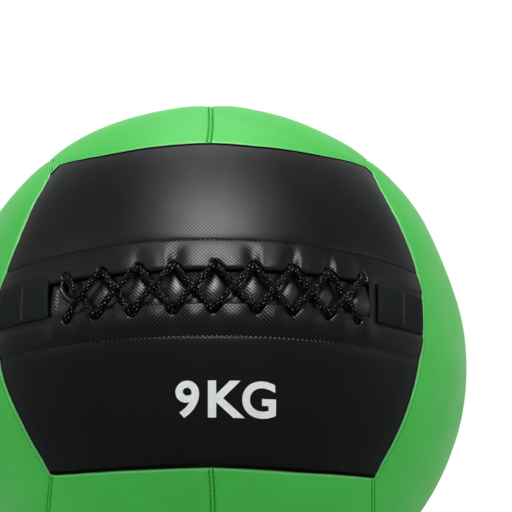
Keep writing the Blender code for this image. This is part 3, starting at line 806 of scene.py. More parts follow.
# Heights of a strand where it crosses over or under another
CROSS_OVER = 0.0041
CROSS_UNDER = 0.0001


FLAP_LIFT = {1: 0.0006, -1: 0.0012}


def strand_middle(start, end, on_top):
    """Heights of a strand at the crossing and where it meets the far flap."""
    heights = ((0.5, CROSS_OVER if on_top else CROSS_UNDER), (0.80, LACE_HIGH - 0.0004))
    return [on_strand(start, end - start, share, height) for share, height in heights]


def lace_end(half):
    """One end's route, from where it comes up at the left to its tail under the right flaps."""
    rows = [half * (-1) ** index for index in range(HOLE_COUNT)]
    holes = [vec(HOLES[row][index], row * HOLE_ACROSS) for index, row in enumerate(rows)]
    ways = [unit(after - before) for before, after in zip(holes, holes[1:])]
    first, last = holes[0], holes[-1]
    route = [
        (*first, -0.0020),
        on_strand(first, ways[0], 0.0010, 0.0012),
        on_strand(first, ways[0], 0.0034, LACE_HIGH),
    ]
    for index, (start, end) in enumerate(zip(holes, holes[1:])):
        route += strand_middle(start, end, start[1] < 0)
        if index + 2 < HOLE_COUNT:
            route += turn_back(end, ways[index], ways[index + 1])
    return route + [
        on_strand(last, ways[-1], -0.0034, LACE_HIGH),
        on_strand(last, ways[-1], -0.0008, 0.0012),
        (*last, -0.0025),
        (last[0] + LACE_BEND, last[1], -LACE_LOW),
        (last[0] + LACE_BEND + LACE_TAIL, last[1], -LACE_LOW),
    ]


def lace_link():
    """From the first upper hole to the first lower one, under the flaps past the slot's end."""
    behind = -SLOT_HALF_LENGTH - LACE_RADIUS - LACE_PLAY
    halves = []
    for half in (1, -1):
        start = HOLES[half][0]
        across = half * HOLE_ACROSS
        halves.append([
            (start - LACE_BEND, across, -LACE_LOW),
            (behind + END_BEND, across, -LACE_LOW),
            (behind, across - half * END_BEND, -LACE_LOW),
        ])
    return halves[0] + halves[1][::-1]


def smooth_path(points, pitch):
    """Even steps along a smooth curve through the points."""
    points = np.asarray(points, float)
    before = np.concatenate((2 * points[:1] - points[1:2], points[:-1]))
    after = np.concatenate((points[1:], 2 * points[-1:] - points[-2:-1]))
    tangents = (after - before) / 2
    lengths = np.linalg.norm(points[1:] - points[:-1], axis=1)
    dense = []
    for i, length in enumerate(lengths):
        before_length = lengths[i - 1] if i else length
        after_length = lengths[i + 1] if i + 1 < len(lengths) else length
        start = tangents[i] * 2 * length / (length + before_length)
        end = tangents[i + 1] * 2 * length / (length + after_length)
        t = np.linspace(0, 1, 24, endpoint=False)[:, None]
        dense.append(
            (2 * t**3 - 3 * t**2 + 1) * points[i] + (t**3 - 2 * t**2 + t) * start
            + (-2 * t**3 + 3 * t**2) * points[i + 1] + (t**3 - t**2) * end
        )
    dense = np.concatenate(dense + [points[-1:]])
    walked = np.concatenate(([0], np.cumsum(np.linalg.norm(np.diff(dense, axis=0), axis=1))))
    stops = np.linspace(0, walked[-1], max(2, round(walked[-1] / pitch)))
    return np.stack([np.interp(stops, walked, dense[:, k]) for k in range(3)], axis=1), stops


def frames_along(path):
    """Two directions square to a path at each of its points, with no twist between them."""
    tangents = unit(np.gradient(path, axis=0))
    side = np.cross(tangents[0], vec(0, 0, 1))
    if np.linalg.norm(side) < 0.1:
        side = np.cross(tangents[0], vec(0, 1, 0))
    sides = [unit(side)]
    for tangent in tangents[1:]:
        sides.append(unit(sides[-1] - tangent * np.dot(sides[-1], tangent)))
    return np.array(sides), np.cross(tangents, sides)


def braided_tube(name, path, stops, radius, look):
    """A round braid: strands of both lays cross over and under in turn."""
    first, second = frames_along(path)
    angle = np.linspace(0, 2 * math.pi, BRAID_SIDES, endpoint=False)
    s = stops[:, None] * math.pi / BRAID_LAY
    t = BRAID_CARRIERS * angle[None, :]
    over = np.cos(t + s) * np.cos(t - s)
    bumps = 1 - BRAID_RELIEF * (1 - np.abs(over) ** 0.6)
    wide, tall = np.cos(angle)[None, :, None], np.sin(angle)[None, :, None]
    ring = radius * bumps[..., None] * (wide * first[:, None, :] + tall * second[:, None, :])
    points = (path[:, None, :] + ring).reshape(-1, 3)
    faces = tube_faces(np.arange(len(points)).reshape(1, len(path), BRAID_SIDES))
    uv = np.stack(np.broadcast_arrays(stops[:, None], angle[None, :] / (2 * math.pi)), axis=-1)
    return orient(make_mesh(name, points, faces, uv.reshape(-1, 2)), look)


BRAID_SIDES = 28
BRAID_CARRIERS = 5
BRAID_LAY = 0.0021
BRAID_RELIEF = 0.26
# The cord is drawn this much thicker than its solid, since its braid's hollows lie below that
BRAID_SWELL = 1.1
LACE_PITCH = 0.0004


def slit_lace(look):
    route = lace_end(1)[::-1] + lace_link() + lace_end(-1)
    centres = np.array([slit_points(*place) for place in np.array(route)])
    path, stops = smooth_path(centres, LACE_PITCH)
    made = braided_tube("braided_lace", path, stops, LACE_RADIUS * BRAID_SWELL, look)
    return dress(made, "slit_lace")


# Stitches


def stitch_row(path, pitch, length, radius, ups, slant=0.0):
    """Points and faces of the small rounded stitches of one row."""
    walked = np.concatenate(([0], np.cumsum(np.linalg.norm(np.diff(path, axis=0), axis=1))))
    count = max(1, int(walked[-1] / pitch))
    middles = (np.arange(count) + 0.5) * walked[-1] / count

    def pick(values, at):
        return np.stack([np.interp(at, walked, values[:, k]) for k in range(3)], axis=1)

    along = unit(pick(path, middles + 0.0003) - pick(path, middles - 0.0003))
    up = unit(pick(ups, middles))
    along = unit(along + slant * unit(np.cross(along, up)))
    across = unit(np.cross(along, up))
    reach = np.linspace(-1, 1, STITCH_RINGS)
    plump = np.sqrt(np.clip(1 - (np.abs(reach) ** 2.6), 0.02, 1))
    dive = np.abs(reach) ** 3
    angle = np.linspace(0, 2 * math.pi, STITCH_SIDES, endpoint=False)
    spine = pick(path, middles)[:, None, :] + along[:, None, :] * (reach * length / 2)[None, :, None]
    spine = spine - up[:, None, :] * (dive * radius * 1.1)[None, :, None]
    wide = np.cos(angle)[None, None, :, None] * across[:, None, None, :]
    tall = np.sin(angle)[None, None, :, None] * up[:, None, None, :]
    points = spine[:, :, None, :] + radius * plump[None, :, None, None] * (wide + 0.8 * tall)
    index = np.arange(count * STITCH_RINGS * STITCH_SIDES).reshape(count, STITCH_RINGS, STITCH_SIDES)
    return points.reshape(-1, 3), tube_faces(index)


STITCH_RINGS = 7
STITCH_SIDES = 8
# How far above a row a second line lies, which gives the way up
UP_REACH = 0.002
HEM_STITCHES = (0.0030, 0.0018, 0.00055)
TAB_STITCHES = (0.0040, 0.0026, 0.00030)


def joined_rows(name, rows, look):
    points, faces, total = [], [], 0
    for row_points, row_faces in rows:
        faces += [[corner + total for corner in face] for face in row_faces]
        points.append(row_points)
        total += len(row_points)
    return dress(orient(make_mesh(name, np.concatenate(points), faces), look), None)


def edge_path(face, half, edge, inset, depth):
    """A line beside one edge of a panel, this far from the seam and below the surface."""
    if edge == "long":
        u = np.linspace(-0.985, 0.985, 240)
        v = 1 - inset / edge_scale(face, half, u, 1.0, 0, -SCALE_STEP)
    else:
        u = np.linspace(-0.99, 0.99, 240)
        v = inset / edge_scale(face, half, u, 0.0, 0, SCALE_STEP)
    path = placed(face, half, u, v, depth)
    return path, placed(face, half, u, v, depth - UP_REACH) - path


def seam_stitches(black, dark_green):
    """The topstitching beside the seams, joined by the thread's colour and the face."""
    for face in FACES:
        rows = []
        for half in (1, -1):
            for edge, pitch in (("long", 0.0027), ("middle", 0.0032)):
                if stitched_edge(face, half, edge):
                    line = edge_path(face, half, edge, STITCH_INSET + SEAM_GAP / 2, STITCH_GROOVE * 0.75)
                    rows.append(stitch_row(line[0], pitch, pitch * 0.72, 0.00036, line[1], 0.18))
        thread = black if face in BLACK_FACES else dark_green
        joined_rows(f"{face}_topstitching", rows, thread)


def hem_stitches(black, grey):
    reach = LONG_ARC - 0.006
    along = np.linspace(-reach, reach, 400)
    for half, name, thread in ((1, "upper", black), (-1, "lower", grey)):
        path = slit_points(along, half * HEM, -0.00028)
        row = stitch_row(path, *HEM_STITCHES, slit_points(along, half * HEM, UP_REACH) - path, 0.1)
        joined_rows(f"{name}_hem_stitches", [row], thread)


# The webbing tabs


def weave_height(along, across):
    """A herringbone twill: ribs that lean one way and then the other."""
    zigzag = np.abs(((across / WEAVE_LANE) % 2) - 1) * WEAVE_LANE
    return np.cos(2 * math.pi * (along + zigzag) / WEAVE_PITCH)


WEAVE_LANE = 0.0063
WEAVE_PITCH = 0.0014


# Each tab's inner end, the middle of its width and half its width, and where its stitches lie
TAB_PLACES = {-1: (0.1096, 0.0016, 0.0139), 1: (0.1122, -0.0008, 0.0141)}
TAB_SEAMS = {-1: 0.1300, 1: 0.1338}
TAB_STITCH_WIDTH = 0.0012


def webbing_tab(side, look):
    """Folded webbing over one end of the slit, which dives into the side seam."""
    name = "webbing_tab_left" if side < 0 else "webbing_tab_right"
    start, centre, half_width = TAB_PLACES[side]
    end = LONG_ARC - 0.0014
    thickness = 2 * TAB_LAYER
    fold = [
        (start + thickness / 2 * (1 - math.sin(a)), GAP + thickness / 2 * (1 - math.cos(a)))
        for a in np.linspace(0, math.pi, 9)
    ]
    along = np.array(graded(start, end, 0.0004, 0.0004, 0.001))
    flat = along[along > start + thickness / 2]
    seam = TAB_SEAMS[side]
    single = smooth_step(seam + 0.0012, seam + 0.0030, flat)
    sunk = smooth_step(end - 0.006, end, flat)
    tops = GAP + thickness - (TAB_LAYER - 0.0003) * single - 0.0012 * sunk
    tail = [(end + 0.0004, -0.0006), (end + 0.0005, -0.0030), (end + 0.0005, -0.0055)]
    back = [(end - TAB_LAYER, -0.0055), (end - TAB_LAYER, -0.0015)]
    under = [(x, min(GAP, top - TAB_LAYER * 0.6)) for x, top in zip(flat[::-1][4:], tops[::-1][4:])]
    outline = np.array(fold + list(zip(flat, tops)) + tail + back + under)
    is_top = np.zeros((len(outline), 1), bool)
    is_top[len(fold) - 3:len(fold) + len(flat)] = True
    shares = np.linspace(-1, 1, 61)
    round_off = np.sqrt(np.clip(1 - np.abs(shares) ** 8, 0, 1))
    across = centre + shares[None, :] * np.full((len(outline), 1), half_width)
    x, height = np.broadcast_to(outline[:, :1], across.shape), outline[:, 1:]
    rounded = GAP + (height - GAP) * (0.25 + 0.75 * round_off)
    height = np.where((height > GAP + 0.0001) & is_top, rounded, height)
    inwards = 1 - np.abs(shares)
    ribs = 0.00012 * weave_height(x, across) * (1 - bell(inwards, 0.05))
    selvedge = 0.0003 * bell(inwards - 0.07, 0.03) + 0.0003 * bell(x - start - 0.0022, 0.0006)
    stitched = 0.0006 * bell(x - seam, TAB_STITCH_WIDTH)
    height = height + np.where(is_top, ribs + selvedge - stitched, 0)
    points = slit_points(side * x, across, height).reshape(-1, 3)
    faces = tube_faces(np.arange(across.size).reshape(across.shape).T[None])
    uv = np.stack((x, across), axis=-1).reshape(-1, 2)
    return dress(orient(make_mesh(f"{name}_webbing", points, faces, uv), look), name)


def tab_stitches(look):
    """A zigzag row across each tab, which holds the fold."""
    top = GAP + 2 * TAB_LAYER - 0.0003
    turns = 2 * TAB_ZIGZAGS
    share = np.linspace(-0.86, 0.86, turns + 1)
    swing = np.where(np.arange(turns + 1) % 2, TAB_SWING, -TAB_SWING)
    for side, name in ((-1, "left"), (1, "right")):
        _, centre, half_width = TAB_PLACES[side]
        middle, rows = TAB_SEAMS[side], []
        for i in range(turns):
            along = np.linspace(middle + swing[i], middle + swing[i + 1], 6) * side
            across = centre + np.linspace(share[i], share[i + 1], 6) * half_width
            path, above = (slit_points(along, across, height) for height in (top, top + UP_REACH))
            rows.append(stitch_row(path, *TAB_STITCHES, above - path))
        joined_rows(f"{name}_tab_stitches", rows, look)


TAB_ZIGZAGS = 9
TAB_SWING = 0.0014


# The weight mark


def inside_outline(points, starts, ends):
    """Which points a closed outline encloses, by counting its crossings to their right."""
    x, y = points[:, None, 0], points[:, None, 1]
    low, high = starts[None, :, :], ends[None, :, :]
    spans = (low[..., 1] > y) != (high[..., 1] > y)
    rise = np.where(spans, high[..., 1] - low[..., 1], 1)
    crossing = low[..., 0] + (y - low[..., 1]) * (high[..., 0] - low[..., 0]) / rise
    return (np.sum(spans & (x < crossing), axis=1) % 2).astype(bool)


def glyph_outline(letter):
    """Where the edges round one bold letter of the built-in typeface start and end."""
    text = bpy.data.curves.new("glyph", "FONT")
    text.body = letter
    text.offset = GLYPH_BOLD
    text.resolution_u = 10
    holder = linked("glyph", text)
    graph = bpy.context.evaluated_depsgraph_get()
    flat = bpy.data.meshes.new_from_object(holder.evaluated_get(graph))
    bpy.data.objects.remove(holder, do_unlink=True)
    build = bmesh.new()
    build.from_mesh(flat)
    bpy.data.meshes.remove(flat)
    bmesh.ops.remove_doubles(build, verts=build.verts, dist=1e-4)
    rim = [edge for edge in build.edges if len(edge.link_faces) == 1]
    starts, ends = (np.array([tuple(edge.verts[k].co)[:2] for edge in rim]) for k in (0, 1))
    build.free()
    return starts, ends


def glyph_mesh(letter):
    """One letter as small triangles: its points from 0 to 1 each way, and its faces."""
    starts, ends = glyph_outline(letter)
    points, edges, seen = [], [], {}

    def corner(place):
        key = (round(float(place[0]), 5), round(float(place[1]), 5))
        if key not in seen:
            seen[key] = len(points)
            points.append(key)
        return seen[key]

    for start, end in zip(starts, ends):
        pieces = max(1, math.ceil(np.linalg.norm(end - start) / GLYPH_PITCH))
        stops = [corner(start + (end - start) * i / pieces) for i in range(pieces + 1)]
        edges += [(a, b) for a, b in zip(stops, stops[1:]) if a != b]
    low, high = starts.min(axis=0), starts.max(axis=0)
    across = np.arange(low[0], high[0], GLYPH_PITCH)
    upward = np.arange(low[1], high[1], GLYPH_PITCH)
    grid = np.stack(np.meshgrid(across, upward), axis=-1).reshape(-1, 2)
    grid = grid[inside_outline(grid, starts, ends)]
    rim = np.array(points)
    apart = np.min(np.linalg.norm(grid[:, None] - rim[None], axis=-1), axis=1)
    spots = [Vector(place) for place in points] + [Vector(place) for place in grid[apart > GLYPH_PITCH / 2]]
    filled = delaunay_2d_cdt(spots, edges, [], 0, 1e-6)
    places = np.array([tuple(place) for place in filled[0]])
    faces = np.array([list(face) for face in filled[2]])
    faces = faces[inside_outline(places[faces].mean(axis=1), starts, ends)]
    used, faces = renumbered(faces, len(places))
    return (places[used] - low) / (high - low), faces


def weight_mark(look):
    """Number and unit, printed on the lower front panel. Each letter has its own place."""
    all_points, all_faces, metric, total = [], [], [], 0
    for letter, (left, right) in zip("9KG", MARK_COLUMNS):
        share, faces = glyph_mesh(letter)
        span = left + (right - left) * share[:, 0]
        top_line = MARK_TOP_ENDS[0] + (MARK_TOP_ENDS[1] - MARK_TOP_ENDS[0]) * span
        low_line = MARK_LOW_ENDS[0] + (MARK_LOW_ENDS[1] - MARK_LOW_ENDS[0]) * span
        along = low_line + (top_line - low_line) * share[:, 1]
        across = MARK_LOW + (MARK_TOP - MARK_LOW) * share[:, 1]
        edges = {(start, end) for face in faces for start, end in zip(face, face[1:] + face[:1])}
        rim = [(start, end) for start, end in edges if (end, start) not in edges]
        count = len(share)
        solid = faces + [[corner + count for corner in reversed(face)] for face in faces]
        solid += [[end, start, start + count, end + count] for start, end in sorted(rim)]
        all_faces += [[corner + total for corner in face] for face in solid]
        for height in (PRINT_HEIGHT, -PRINT_HEIGHT):
            all_points.append(slit_points(along, across, height))
            metric.append(np.stack((along, across), axis=1))
        total += 2 * count
    mesh = make_mesh("weight_mark", np.concatenate(all_points), all_faces, np.concatenate(metric))
    return dress(orient(mesh, look), None)


GLYPH_BOLD = 0.025
GLYPH_PITCH = 0.05
PRINT_HEIGHT = 0.00013
# Each letter's share of the mark's width, and the mark's own corners along and across the slit
MARK_COLUMNS = ((0.0, 0.235), (0.322, 0.645), (0.661, 1.0))
MARK_TOP = -0.0611
MARK_LOW = -0.0840
MARK_TOP_ENDS = (-0.0257, 0.0435)
MARK_LOW_ENDS = (-0.0284, 0.0483)


# Materials


class Nodes:
    """A node tree, built by short calls."""

    def __init__(self, tree):
        self.tree = tree

    def node(self, kind, **settings):
        made = self.tree.nodes.new(kind)
        for key, value in settings.items():
            setattr(made, key, value)
        return made

    def link(self, source, target):
        self.tree.links.new(source, target)

    def put(self, socket, value):
        if isinstance(value, (int, float, tuple)):
            socket.default_value = value
        else:
            self.link(value, socket)

    def math(self, operation, first, second=0.0, third=0.0, clamp=False):
        made = self.node("ShaderNodeMath", operation=operation, use_clamp=clamp)
        for socket, value in zip(made.inputs, (first, second, third)):
            self.put(socket, value)
        return made.outputs[0]

    def split(self, vector):
        made = self.node("ShaderNodeSeparateXYZ")
        self.link(vector, made.inputs[0])
        return made.outputs

    def remap(self, value, low, high, new_low, new_high):
        made = self.node("ShaderNodeMapRange")
        names = ("Value", "From Min", "From Max", "To Min", "To Max")
        for key, number in zip(names, (value, low, high, new_low, new_high)):
            self.put(made.inputs[key], number)
        return made.outputs["Result"]

    def seen(self):
        """1 for rays of the camera, of reflections and through glass, and 0 for all others."""
        rays = self.node("ShaderNodeLightPath").outputs
        seen = self.math("MAXIMUM", rays["Is Camera Ray"], rays["Is Glossy Ray"])
        return self.math("MAXIMUM", seen, rays["Is Transmission Ray"])


class Look(Nodes):
    """A material's node tree."""

    def __init__(self, name):
        self.material = bpy.data.materials.new(name)
        self.material.use_nodes = True
        super().__init__(self.material.node_tree)
        self.shader = self.tree.nodes["Principled BSDF"]
        self.position = self.node("ShaderNodeNewGeometry").outputs["Position"]

    def metric(self):
        """The two metric coordinates: in metres along a sheet and across it, or round a cord."""
        return self.split(self.node("ShaderNodeUVMap", uv_map="metric").outputs["UV"])[:2]

    def noise(self, scale, detail=3.0, roughness=0.5):
        made = self.node("ShaderNodeTexNoise")
        self.link(self.position, made.inputs["Vector"])
        for key, value in (("Scale", scale), ("Detail", detail), ("Roughness", roughness)):
            made.inputs[key].default_value = value
        return made.outputs["Fac"]

    def patches(self, scale, detail, low=0, high=1):
        return self.remap(self.noise(scale, detail), 0.3, 0.7, low, high)

    def mix(self, share, first, second):
        made = self.node("ShaderNodeMix", data_type="RGBA")
        for place, value in ((0, share), (6, first), (7, second)):
            self.put(made.inputs[place], value)
        return made.outputs[2]

    def ribs(self, phase_lengths, coordinates):
        """A cosine wave across the metric coordinates: 1 on a rib, 0 between."""
        phase = self.math("MULTIPLY", coordinates[0], 2 * math.pi * phase_lengths[0])
        phase = self.math("MULTIPLY_ADD", coordinates[1], 2 * math.pi * phase_lengths[1], phase)
        return self.math("MULTIPLY_ADD", self.math("COSINE", phase), 0.5, 0.5)

    def bump(self, height, distance, strength=1.0):
        made = self.node("ShaderNodeBump")
        made.inputs["Strength"].default_value = strength
        made.inputs["Distance"].default_value = distance
        self.link(height, made.inputs["Height"])
        return made.outputs["Normal"]

    def finish(self, colour, roughness, normal=None, specular=0.5, sheen=0.0):
        inputs = self.shader.inputs
        self.put(inputs["Base Color"], colour)
        self.put(inputs["Roughness"], roughness)
        self.put(inputs["Specular IOR Level"], specular)
        if sheen:
            inputs["Sheen Weight"].default_value = sheen
            inputs["Sheen Roughness"].default_value = 0.5
        if normal is not None:
            self.link(normal, inputs["Normal"])
        return self.material


def seam_distance(look, edge):
    """How far a place lies from its panel's outer edges: the long one, the short ones or both."""
    x, y = look.metric()
    beside_long = look.math("SUBTRACT", SHORT_ARC, look.math("ABSOLUTE", y))
    beside_short = look.math("SUBTRACT", LONG_ARC, look.math("ABSOLUTE", x))
    if edge == "both":
        return look.math("MINIMUM", beside_long, beside_short)
    return beside_long if edge == "long" else beside_short


def black_vinyl_look(name="black_vinyl_look", specular=(0.050, 0.195), roughness=(0.33, 0.39), edges=True):
    """Black with a fine emboss of slanting lines, which shows as a change of gloss.

    With edges, the lines lean one way left of the middle and the other way right of it, they fade
    low on the patch, and the rolled edges are dull.
    """
    look = Look(name)
    x, y = look.metric()
    lean = 1 / (TWILL_PITCH * math.sqrt(2))
    twill = look.ribs((lean, lean), (x, y))
    if edges:
        rising = look.ribs((lean, -lean), (x, y))
        on_left = look.math("MULTIPLY", rising, look.remap(x, -0.010, 0.045, 1.0, 0.15))
        on_right = look.math("MULTIPLY", twill, look.remap(x, -0.045, 0.010, 0.15, 1.0))
        twill = look.math("MAXIMUM", on_left, on_right)
        faint = look.remap(y, -0.045, -0.020, 0.65, 0.0)
        twill = look.math("MULTIPLY_ADD", look.math("SUBTRACT", 0.31, twill), faint, twill)
    normal = look.bump(look.math("MULTIPLY_ADD", look.noise(2600.0, 2.0), 0.1, twill), 0.00006)
    colour = look.mix(look.patches(26.0, 3.0), (0.0014, 0.0019, 0.0020, 1), (0.0026, 0.0033, 0.0034, 1))
    gloss = look.remap(twill, 0.25, 0.95, *specular)
    if edges:
        inset = look.remap(seam_distance(look, "both"), 0.0018, 0.0028, 0.12, 1.0)
        rolled = look.remap(seam_distance(look, "long"), 0.0010, 0.0045, 0.45, 1.0)
        gloss = look.math("MULTIPLY", look.math("MULTIPLY", gloss, inset), rolled)
    return look.finish(colour, look.patches(60.0, 4.0, *roughness), normal, gloss)


TWILL_PITCH = 0.00188


def green_vinyl_look(name, black_side):
    """Smooth green, a little worn, with a painted highlight: paler on the bead along the black panels, where
    the rolled edge catches the light.
    """
    look = Look(name)
    pores = look.node("ShaderNodeTexVoronoi")
    look.link(look.position, pores.inputs["Vector"])
    pores.inputs["Scale"].default_value = 1100.0
    fine = look.noise(1500.0, 3.0, 0.6)
    normal = look.bump(look.math("MULTIPLY_ADD", pores.outputs["Distance"], 0.5, fine), 0.00003, 0.6)
    colour = look.mix(look.patches(18.0, 3.0), (0.038, 0.430, 0.050, 1), (0.048, 0.475, 0.060, 1))
    # Painted highlight: the colour is mixed paler on a thin line about 1 mm from the seams with the black
    # panels.
    away = look.math("ABSOLUTE", look.math("SUBTRACT", seam_distance(look, black_side), 0.0010))
    colour = look.mix(look.remap(away, 0.0004, 0.0010, 0.27, 0), colour, (0.40, 0.80, 0.42, 1))
    return look.finish(colour, look.patches(45.0, 4.0, 0.42, 0.52), normal, 0.27)


def webbing_look():
    """Herringbone: ribs that lean one way and then the other across the width."""
    look = Look("webbing_look")
    x, y = look.metric()
    ribs = look.ribs((1 / 0.0036, 1 / 0.0015), (look.math("PINGPONG", x, WEAVE_LANE), y))
    yarn = look.ribs((1 / 0.0011, 0), (x, y))
    fleck = look.remap(look.noise(1500.0, 2.0), 0.4, 0.7, 0.5, 1)
    share = look.math("MULTIPLY", fleck, look.remap(ribs, 0.3, 0.9, 0, 1))
    colour = look.mix(share, (0.0006, 0.0008, 0.0008, 1), (0.028, 0.036, 0.034, 1))
    normal = look.bump(look.math("MULTIPLY_ADD", yarn, 0.3, ribs), 0.00012, 0.8)
    return look.finish(colour, 0.75, normal, 0.06)


def braid_look():
    """Black yarns with pale flecks on the braid's crowns: partly paler yarns and partly painted glints."""
    look = Look("braid_look")
    places = look.metric()
    rising, falling = (look.ribs((1 / 0.0042, turns), places) for turns in (5.0, -5.0))
    yarn = look.ribs((1 / 0.00045, 22.0), places)
    crown = look.math("MULTIPLY", rising, falling)
    # Pale flecks: paler yarns and painted glints, put on the braid's crowns where its highlights fall.
    chosen = look.remap(look.noise(900.0, 2.0), 0.50, 0.57, 0, 1)
    fleck = look.math("MULTIPLY", look.remap(crown, 0.45, 0.8, 0, 1), chosen, clamp=True)
    colour = look.mix(fleck, (0.0010, 0.0012, 0.0012, 1), (0.20, 0.205, 0.20, 1))
    normal = look.bump(look.math("MULTIPLY_ADD", yarn, 0.3, crown), 0.00012, 0.8)
    return look.finish(colour, 0.55, normal, 0.03)


def twisted(look, colour):
    """Finishes a thread's look with the fine relief of its twist."""
    return look.finish(colour, 0.55, look.bump(look.noise(4000.0, 2.0), 0.00008, 0.6), 0.1)


def thread_look(name, colour):
    look = Look(name)
    shade = look.remap(look.noise(700.0, 1.0), 0.35, 0.65, 0, 1)
    darker = tuple(channel * 0.6 for channel in colour[:3]) + (1,)
    return twisted(look, look.mix(shade, darker, colour))


def hem_thread_glint_look():
    """Dark thread with a painted glint: grey and paler in the middle of the row, where the highlight falls.
    """
    look = Look("hem_thread_glint_look")
    # Painted glint: the thread is mixed paler within a few centimetres of the slit's middle, where the
    # highlight lies.
    away = look.math("ABSOLUTE", look.math("SUBTRACT", look.split(look.position)[0], 0.012))
    share = look.remap(away, 0.035, 0.065, 0, 1)
    return twisted(look, look.mix(share, (0.10, 0.10, 0.10, 1), (0.018, 0.018, 0.018, 1)))


def print_look():
    look = Look("print_look")
    colour = look.mix(look.patches(900.0, 3.0), (0.74, 0.76, 0.76, 1), (0.88, 0.90, 0.90, 1))
    places = look.metric()
    lean = 1 / (0.0015 * math.sqrt(2))
    twill = look.math("MULTIPLY", look.ribs((lean, lean), places), look.ribs((lean, -lean), places))
    return look.finish(colour, 0.5, look.bump(twill, 0.00003), 0.35)


def cloth_look(name, dark, pale, pitch):
    """Plain weave in world places, for what lies inside."""
    look = Look(name)
    x, y, z = look.split(look.position)
    warp = look.ribs((1 / pitch, 1 / pitch), (x, y))
    weft = look.ribs((1 / pitch, -0.4 / pitch), (z, x))
    height = look.math("MULTIPLY_ADD", warp, weft, look.noise(300.0, 3.0))
    colour = look.mix(look.patches(60.0, 4.0), dark, pale)
    return look.finish(colour, 0.9, look.bump(height, 0.0003), 0.2, sheen=0.2)


def loose_look(name, dark, pale, scale, roughness):
    """Tangled fibre or loose grains."""
    look = Look(name)
    clumps = look.noise(scale, 6.0, 0.7)
    colour = look.mix(look.remap(clumps, 0.3, 0.7, 0, 1), dark, pale)
    return look.finish(colour, roughness, look.bump(clumps, 0.002), 0.2)


# Camera, light and floor


def set_camera():
    data = bpy.data.cameras.new("camera")
    camera = linked("camera", data)
    across = CAMERA_DISTANCE * math.sin(CAMERA_AZIMUTH)
    away = CAMERA_DISTANCE * math.cos(CAMERA_AZIMUTH)
    camera.location = (across, -away, FLOOR_DISTANCE)
    pitch = math.atan(BALL_DOWN_PIXELS / FOCAL_PIXELS)
    turn = -CAMERA_AZIMUTH - math.atan(BALL_RIGHT_PIXELS / FOCAL_PIXELS * math.cos(pitch))
    look = Vector((math.sin(turn) * math.cos(pitch), math.cos(turn) * math.cos(pitch), math.sin(pitch)))
    camera.rotation_euler = look.to_track_quat("-Z", "Y").to_euler()
    data.sensor_width = SENSOR
    data.lens = FOCAL_PIXELS * SENSOR / IMAGE_PIXELS
    data.clip_start = 0.05
    bpy.context.scene.camera = camera


# Softboxes: the way from the ball's middle, distance, diameter and radiance
SOFTBOXES = {
    "key_softbox": ((0.05, -0.41, 0.91), 1.35, 0.55, 11.5),
    "right_softbox": ((0.85, -0.25, 0.35), 1.8, 1.0, 1.4),
    "left_softbox": ((-0.80, -0.30, 0.55), 1.8, 1.0, 1.8),
    "top_softbox": ((0.0, 0.45, 0.89), 1.5, 0.8, 2.0),
}
# Reflectors in front and above that only show as gloss: elevation, diameter and radiance
GLOSS_REFLECTORS = ((51, 0.50, 37.0), (68, 0.85, 4.0), (92, 0.60, 2.6))
REFLECTOR_DISTANCE = 1.3
AMBIENT = 0.57


def area_light(name, way, distance, size, radiance):
    data = bpy.data.lights.new(name, "AREA")
    data.shape = "DISK"
    data.size = size
    data.energy = radiance * math.pi * math.pi * (size / 2) ** 2
    light = linked(name, data)
    towards = Vector(way).normalized()
    light.location = Vector((0, 0, FLOOR_DISTANCE)) + towards * distance
    light.rotation_euler = (-towards).to_track_quat("-Z", "Y").to_euler()
    return light


def set_lights():
    for name, settings in SOFTBOXES.items():
        area_light(name, *settings)
    for degrees, size, radiance in GLOSS_REFLECTORS:
        rise = math.radians(degrees)
        way = (0, -math.cos(rise), math.sin(rise))
        reflector = area_light(f"gloss_reflector_{degrees}", way, REFLECTOR_DISTANCE, size, radiance)
        reflector.visible_diffuse = False


OVERHEAD = 0.45


def set_world():
    """White all round and less bright overhead, where only reflections look."""
    world = bpy.data.worlds.new("studio")
    bpy.context.scene.world = world
    world.use_nodes = True
    world.node_tree.nodes.clear()
    nodes = Nodes(world.node_tree)
    upward = nodes.split(nodes.node("ShaderNodeTexCoord").outputs["Generated"])["Z"]
    overhead = nodes.remap(upward, 0.27, 0.60, 1.0, OVERHEAD)
    background = nodes.node("ShaderNodeBackground")
    nodes.put(background.inputs["Color"], (1, 1, 1, 1))
    nodes.put(background.inputs["Strength"], nodes.remap(nodes.seen(), 0, 1, AMBIENT, overhead))
    nodes.link(background.outputs[0], nodes.node("ShaderNodeOutputWorld").inputs["Surface"])


def floor_look():
    """Pale near the ball, with its shadow, and as white as the world further out."""
    look = Look("floor_look")
    x, y, _ = look.split(look.position)
    away = look.math("SQRT", look.math("ADD", look.math("MULTIPLY", x, x), look.math("MULTIPLY", y, y)))
    far = look.remap(away, 0.35, 1.3, 0, 1)
    colour = look.mix(look.patches(3.0, 2.0), (0.70, 0.70, 0.70, 1), (0.72, 0.72, 0.72, 1))
    look.finish(colour, 0.9, None, 0.0)
    blend = look.node("ShaderNodeMixShader")
    look.link(look.math("MULTIPLY", far, look.seen()), blend.inputs[0])
    look.link(look.shader.outputs[0], blend.inputs[1])
    look.link(look.node("ShaderNodeEmission").outputs[0], blend.inputs[2])
    look.link(blend.outputs[0], look.tree.nodes["Material Output"].inputs["Surface"])
    return look.material


FLOOR_REACH = 3.0
FLOOR_SIDES = 64
FLOOR_BELOW = 0.0002


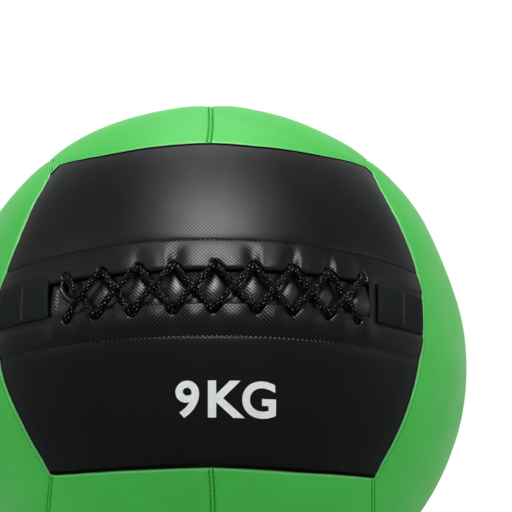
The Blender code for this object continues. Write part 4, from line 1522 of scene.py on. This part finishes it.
def set_floor():
    turns = [2 * math.pi * i / FLOOR_SIDES for i in range(FLOOR_SIDES)]
    ring = [(FLOOR_REACH * math.cos(turn), FLOOR_REACH * math.sin(turn), -FLOOR_BELOW) for turn in turns]
    mesh = bpy.data.meshes.new("studio_floor")
    mesh.from_pydata(ring, [], [list(range(FLOOR_SIDES))])
    mesh.materials.append(floor_look())
    linked("studio_floor", mesh)


# What lies inside


def inner_looks():
    looks = {
        "inner_liner": cloth_look("liner_look", (0.52, 0.50, 0.46, 1), (0.66, 0.64, 0.60, 1), 0.0011),
        "fibre_upper": loose_look("fibre_look", (0.55, 0.53, 0.49, 1), (0.80, 0.78, 0.74, 1), 240.0, 0.95),
        "weight_bag": cloth_look("canvas_look", (0.36, 0.30, 0.20, 1), (0.50, 0.43, 0.31, 1), 0.0016),
        "iron_sand": loose_look("sand_look", (0.04, 0.035, 0.03, 1), (0.15, 0.135, 0.12, 1), 1400.0, 0.65),
    }
    looks["fibre_lower"] = looks["fibre_upper"]
    looks["bag_tie"] = thread_look("tie_look", (0.02, 0.021, 0.021, 1))
    for node, look in looks.items():
        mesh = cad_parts[node].data
        mesh.materials.clear()
        mesh.materials.append(look)


def main():
    bpy.context.scene.view_settings.view_transform = "Standard"
    set_camera()
    set_world()
    set_floor()
    set_lights()

    black = black_vinyl_look()
    side_green = green_vinyl_look("side_green_look", "long")
    top_green = green_vinyl_look("top_green_look", "short")
    glossy = black_vinyl_look("tongue_vinyl_look", (0.16, 0.44), (0.36, 0.42), False)
    inner = black_vinyl_look("facing_vinyl_look", edges=False)
    for face in FACES:
        green = side_green if face in ("left", "right") else top_green
        for half in (1, -1):
            panel(face, half, black if face in BLACK_FACES else green)
    for half in (1, -1):
        facing(half, inner)
    tongue(glossy)
    slit_lace(braid_look())
    webbing = webbing_look()
    for side in (-1, 1):
        webbing_tab(side, webbing)
    dark = thread_look("black_thread_look", (0.0015, 0.0015, 0.0015, 1))
    seam_stitches(dark, thread_look("green_thread_look", (0.012, 0.16, 0.022, 1)))
    hem_stitches(dark, hem_thread_glint_look())
    tab_stitches(thread_look("tab_thread_look", (0.06, 0.062, 0.06, 1)))
    weight_mark(print_look())
    inner_looks()


main()
